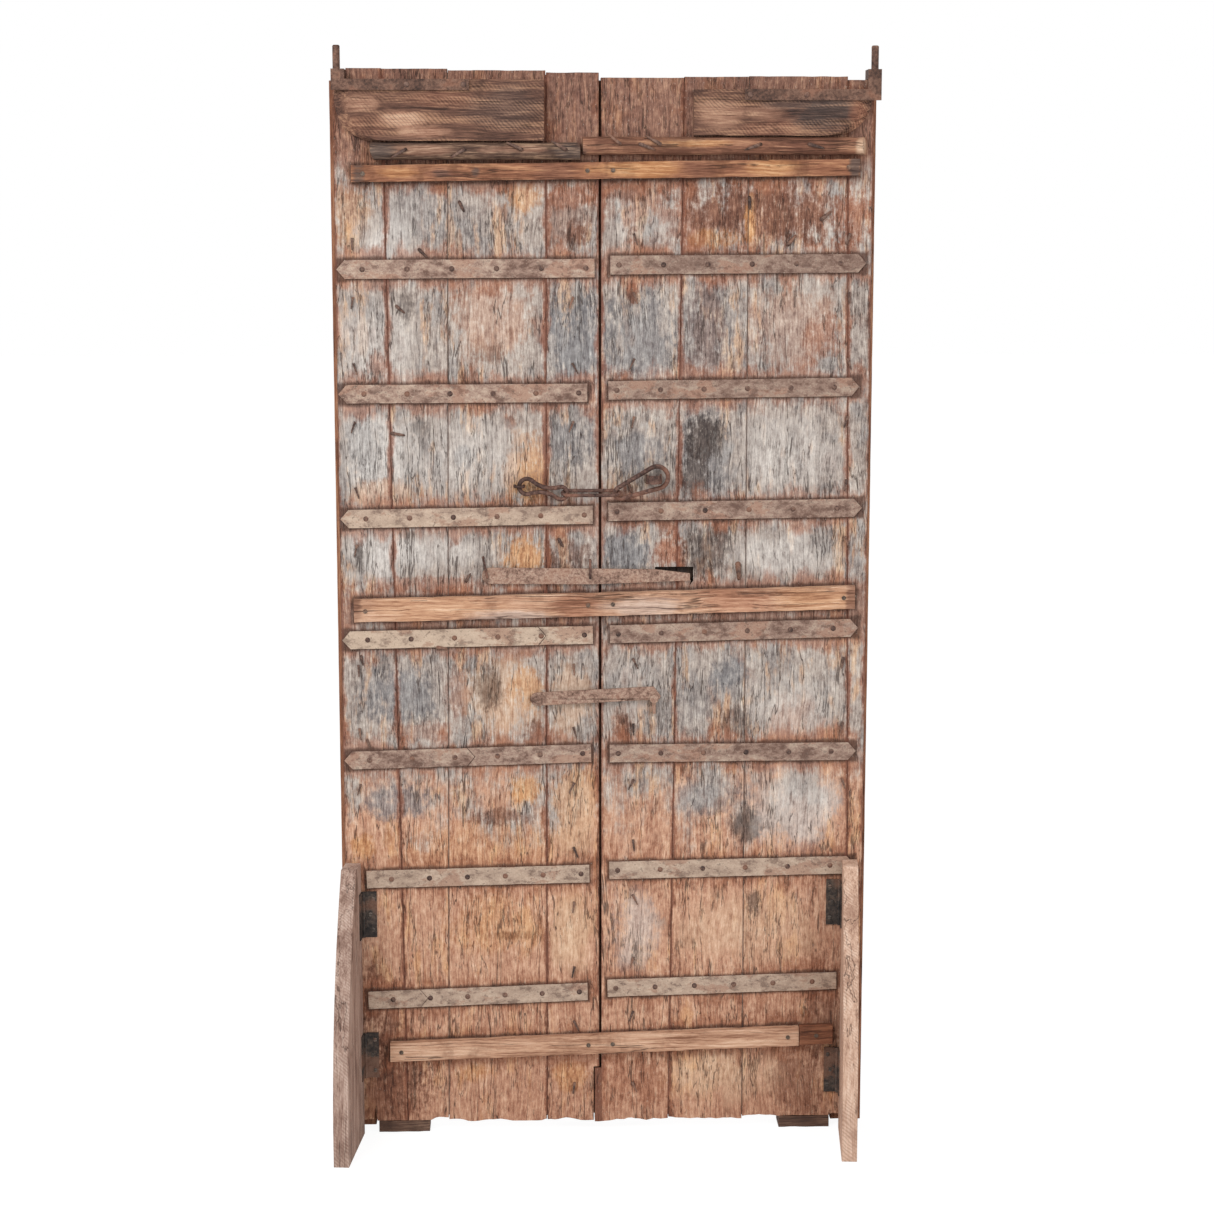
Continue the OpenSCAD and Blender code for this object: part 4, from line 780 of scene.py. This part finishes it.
# The battens: sawn laths screwed across both leaves to hold them together, golden where the wood
# is fresh and dark where hands and weather reached it, with a short dark block at the lowest one's end.
BATTEN_STAINS = [
    (-0.060, 1.155, 0.055, 0.050, 0.60, "rust"), (0.270, 1.160, 0.080, 0.050, 0.60, "rust"),
    (-0.350, 1.145, 0.140, 0.030, 0.20, "honey"), (0.430, 1.165, 0.070, 0.030, 0.35, "honey"),
    (-0.520, 1.140, 0.014, 0.050, 0.75, "umber"), (0.522, 1.165, 0.014, 0.050, 0.75, "umber"),
    (0.080, 1.150, 0.090, 0.020, 0.35, "chalk"), (-0.200, 1.130, 0.100, 0.014, 0.40, "chalk"),
]
TOP_BATTEN_STAINS = [
    (-0.330, 2.042, 0.020, 0.010, 0.95, "soot"), (-0.326, 2.042, 0.045, 0.016, 0.60, "umber"),
    (-0.262, 2.046, 0.010, 0.010, 0.80, "soot"), (-0.500, 2.040, 0.014, 0.030, 0.85, "soot"),
    (-0.100, 2.046, 0.040, 0.030, 0.55, "umber"), (0.060, 2.052, 0.090, 0.020, 0.55, "honey"),
    (0.200, 2.052, 0.040, 0.030, 0.55, "umber"), (0.350, 2.056, 0.060, 0.018, 0.45, "honey"),
    (-0.420, 2.044, 0.050, 0.012, 0.45, "honey"), (0.512, 2.056, 0.012, 0.030, 0.85, "soot"),
]
BATTEN_WOOD = brown_wood("batten_wood", ((124, 84, 63), (187, 145, 118), (221, 187, 160)),
                         ACROSS, 51.0, 0.0022, BATTEN_STAINS)
TOP_BATTEN_WOOD = brown_wood("top_batten_wood", ((84, 50, 35), (136, 90, 67), (186, 137, 102)),
                             ACROSS, 57.0, 0.0022, TOP_BATTEN_STAINS)
BLOCK_WOOD = brown_wood("block_wood", ((64, 38, 29), (112, 70, 51), (154, 104, 77)), ACROSS, 61.0, 0.0022)
BATTEN_STEPS = (0.016, 0.012)
BATTEN_DENT = 0.0016
BLOCK_STEPS = (0.012, 0.012)
BLOCK_DENT = 0.0012
for batten in BATTENS:
    finish = TOP_BATTEN_WOOD if batten == "top_batten" else BATTEN_WOOD
    worn(batten, "door", finish, BATTEN_STEPS, BATTEN_DENT)
worn("batten_block", "door", BLOCK_WOOD, BLOCK_STEPS, BLOCK_DENT)
SCREW_STEEL = rusted_iron("screw_steel", ((48, 39, 34), (86, 72, 62), (132, 116, 102)), 65.0)
dress("batten_screws", SCREW_STEEL)

# The foot blocks: dark offcuts nailed under the planks, on which the leaves stand. They are plain
# sawn wood, greyed by dust and damp.
FOOT_WOOD = brown_wood("foot_wood", ((58, 42, 36), (98, 74, 62), (138, 110, 92)), ACROSS, 71.0)
for foot in ("left_foot_block", "right_foot_block"):
    worn(foot, "door", FOOT_WOOD, BLOCK_STEPS, BLOCK_DENT)

# The stands: curved boards of newer wood, sawn to shape and left with the slanting marks of the saw.
# Each hangs on two hinges behind its leaf and swings out to keep the door upright.
LEFT_STAND_WOOD = brown_wood("left_stand_wood", ((112, 84, 72), (166, 138, 124), (196, 172, 158)),
                             UPRIGHT, 75.0, 0.002, marks=0.3)
RIGHT_STAND_WOOD = brown_wood("right_stand_wood", ((150, 115, 97), (198, 163, 141), (222, 194, 174)),
                              UPRIGHT, 79.0, 0.002, marks=0.4)
STAND_STEPS = (0.02, 0.02)
STAND_DENT = 0.0006
for stand, finish in (("left_stand", LEFT_STAND_WOOD), ("right_stand", RIGHT_STAND_WOOD)):
    worn(stand, stand, finish, STAND_STEPS, STAND_DENT)

# The hinges: black steel butt hinges, one leaf screwed to the planks and one to the stand, the
# paint rubbed to tan metal in places. Slotted screws hold the leaves.
HINGE_BLACK = rusted_iron("hinge_black", ((36, 33, 32), (68, 60, 56), (116, 100, 88)), 85.0,
                          worn_tone=(150, 122, 96), worn_share=0.6)
PIN_STEEL = rusted_iron("pin_steel", ((58, 52, 48), (92, 84, 78), (140, 130, 120)), 88.0)
HINGE_SCREW_RADIUS = 0.0042
HINGE_SCREW_LIFT = 0.0011
HINGE_TALL = 0.100
HINGE_EDGE_REACH = 0.003
# Screws in a hinge leaf: share of its height, distance in from its free edge
HINGE_SCREWS = ((0.16, 0.008), (0.50, 0.014), (0.84, 0.008))
for side, free_edge, inward in (("left", 1, -1), ("right", 0, 1)):
    node = f"{side}_hinge_door_leaves"
    dress(node, HINGE_BLACK)
    dress(f"{side}_hinge_stand_leaves", HINGE_BLACK)
    low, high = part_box(node)
    edge_x = (low.x, high.x)[free_edge]
    front = min(v.co.y for v in nodes[node].data.vertices if abs(v.co.x - edge_x) < HINGE_EDGE_REACH)
    for base, foot_z in (("lower", low.z), ("upper", high.z - HINGE_TALL)):
        for count, (share, aside) in enumerate(HINGE_SCREWS):
            round_head(f"{side}_{base}_hinge_screw_{count + 1}", edge_x + inward * aside, front,
                       foot_z + share * HINGE_TALL, HINGE_SCREW_RADIUS, HINGE_SCREW_LIFT,
                       PIN_STEEL, "door", slotted=True)
dress("hinge_pins", PIN_STEEL)

# The chain hasp: links forged from round rod, each hung in the one before, and a pear-shaped ring
# that drops over an arched staple on the other leaf. Brown rust with a dull worn sheen.
FORGED_IRON = rusted_iron("forged_iron", ((40, 28, 25), (80, 57, 50), (132, 101, 89)), 91.0, worn_share=0.3)
for link in ("chain_staple", "chain_eye_link", "chain_long_link", "chain_ring", "hasp_staple"):
    dress(link, FORGED_IRON)

# The latches: two flat forged bars, one swinging on a wire staple with its tongue in a mortise,
# the other on a rivet and notched over a headed catch. Handling has rubbed them paler.
LATCH_IRON = rusted_iron("latch_iron", ((82, 59, 49), (146, 116, 101), (194, 168, 149)), 97.0)
for piece in ("upper_latch_bar", "lower_latch_bar", "lower_latch_rivet", "lower_latch_catch"):
    dress(piece, LATCH_IRON)
for piece in ("upper_latch_staple", "upper_latch_hook"):
    dress(piece, FORGED_IRON)
LATCH_EASE = 0.0012
for latch in ("upper_latch_bar", "lower_latch_bar"):
    ease_edges(latch, LATCH_EASE)

# The studio: a white floor and sky that the camera sees as paper, broad soft light from the front,
# and the camera where the photographer stood.
FLOOR_HALF = 30.0
floor_mesh = bpy.data.meshes.new("floor")
floor_mesh.from_pydata([(-FLOOR_HALF, -FLOOR_HALF, 0), (FLOOR_HALF, -FLOOR_HALF, 0),
                        (FLOOR_HALF, FLOOR_HALF, 0), (-FLOOR_HALF, FLOOR_HALF, 0)], [], [(0, 1, 2, 3)])
floor = bpy.data.objects.new("floor", floor_mesh)
bpy.context.collection.objects.link(floor)


def sees_paper(tree):
    """1 for the camera's rays, and for those seen in metal or through something clear."""
    camera_ray, glossy, through = (Tone(tree).make("ShaderNodeLightPath", {}, {}, out=f"Is {kind} Ray")
                                   for kind in ("Camera", "Glossy", "Transmission"))
    return most(most(camera_ray, glossy), through)


WHITE = (1, 1, 1, 1)
FLOOR_GREY = (0.85, 0.85, 0.85, 1)
FLOOR_GLOW = 0.82
PAPER_LIGHT = 1.12
floor_paint = bpy.data.materials.new("floor_paint")
floor_paint.use_nodes = True
tree = floor_paint.node_tree
plain = tree.nodes["Principled BSDF"]
plain.inputs["Base Color"].default_value = FLOOR_GREY
plain.inputs["Roughness"].default_value = 0.9
seen = sees_paper(tree)
glow = seen.make("ShaderNodeEmission", {}, {"Color": WHITE, "Strength": PAPER_LIGHT})
paint = Tone(tree, plain.outputs[0])
ground = seen.make("ShaderNodeMixShader", {}, {0: seen * FLOOR_GLOW, 1: paint, 2: glow})
tree.links.new(ground.socket, tree.nodes["Material Output"].inputs["Surface"])
floor_mesh.materials.append(floor_paint)

SKY_LIGHT = 0.62
world = bpy.data.worlds.new("studio")
bpy.context.scene.world = world
world.use_nodes = True
tree = world.node_tree
sky = tree.nodes["Background"]
sky.inputs["Color"].default_value = WHITE
seen = sees_paper(tree)
tree.links.new((SKY_LIGHT + seen * (1 - SKY_LIGHT)).socket, sky.inputs["Strength"])


def soft_box(name, place, aim, size, power):
    """A square lamp of that size in metres and power in watts, turned to its aim."""
    lamp = bpy.data.lights.new(name, "AREA")
    lamp.size = size
    lamp.energy = power
    holder = bpy.data.objects.new(name, lamp)
    holder.location = place
    holder.rotation_euler = (Vector(aim) - Vector(place)).to_track_quat("-Z", "Y").to_euler()
    bpy.context.collection.objects.link(holder)


DOOR_MIDDLE = (0.0, 0.0, 1.15)
soft_box("key_light", (-2.2, -3.2, 4.2), DOOR_MIDDLE, 2.2, 135)
soft_box("fill_light", (2.8, -3.6, 2.4), DOOR_MIDDLE, 2.6, 60)

LENS = 74.26
SENSOR = 36
CAMERA_BACK = 5.185
CAMERA_SIDE = -0.172
CAMERA_HEIGHT = 1.961
CAMERA_TURN = math.radians(1.96)
CAMERA_DIP = math.radians(8.92)
lens = bpy.data.cameras.new("camera")
lens.sensor_width = SENSOR
lens.lens = LENS
camera = bpy.data.objects.new("camera", lens)
camera.location = (CAMERA_SIDE, FACE_Y - CAMERA_BACK, CAMERA_HEIGHT)
camera.rotation_euler = (math.pi / 2 - CAMERA_DIP, 0, -CAMERA_TURN)
bpy.context.collection.objects.link(camera)
bpy.context.scene.camera = camera
bpy.context.scene.view_settings.view_transform = "Standard"
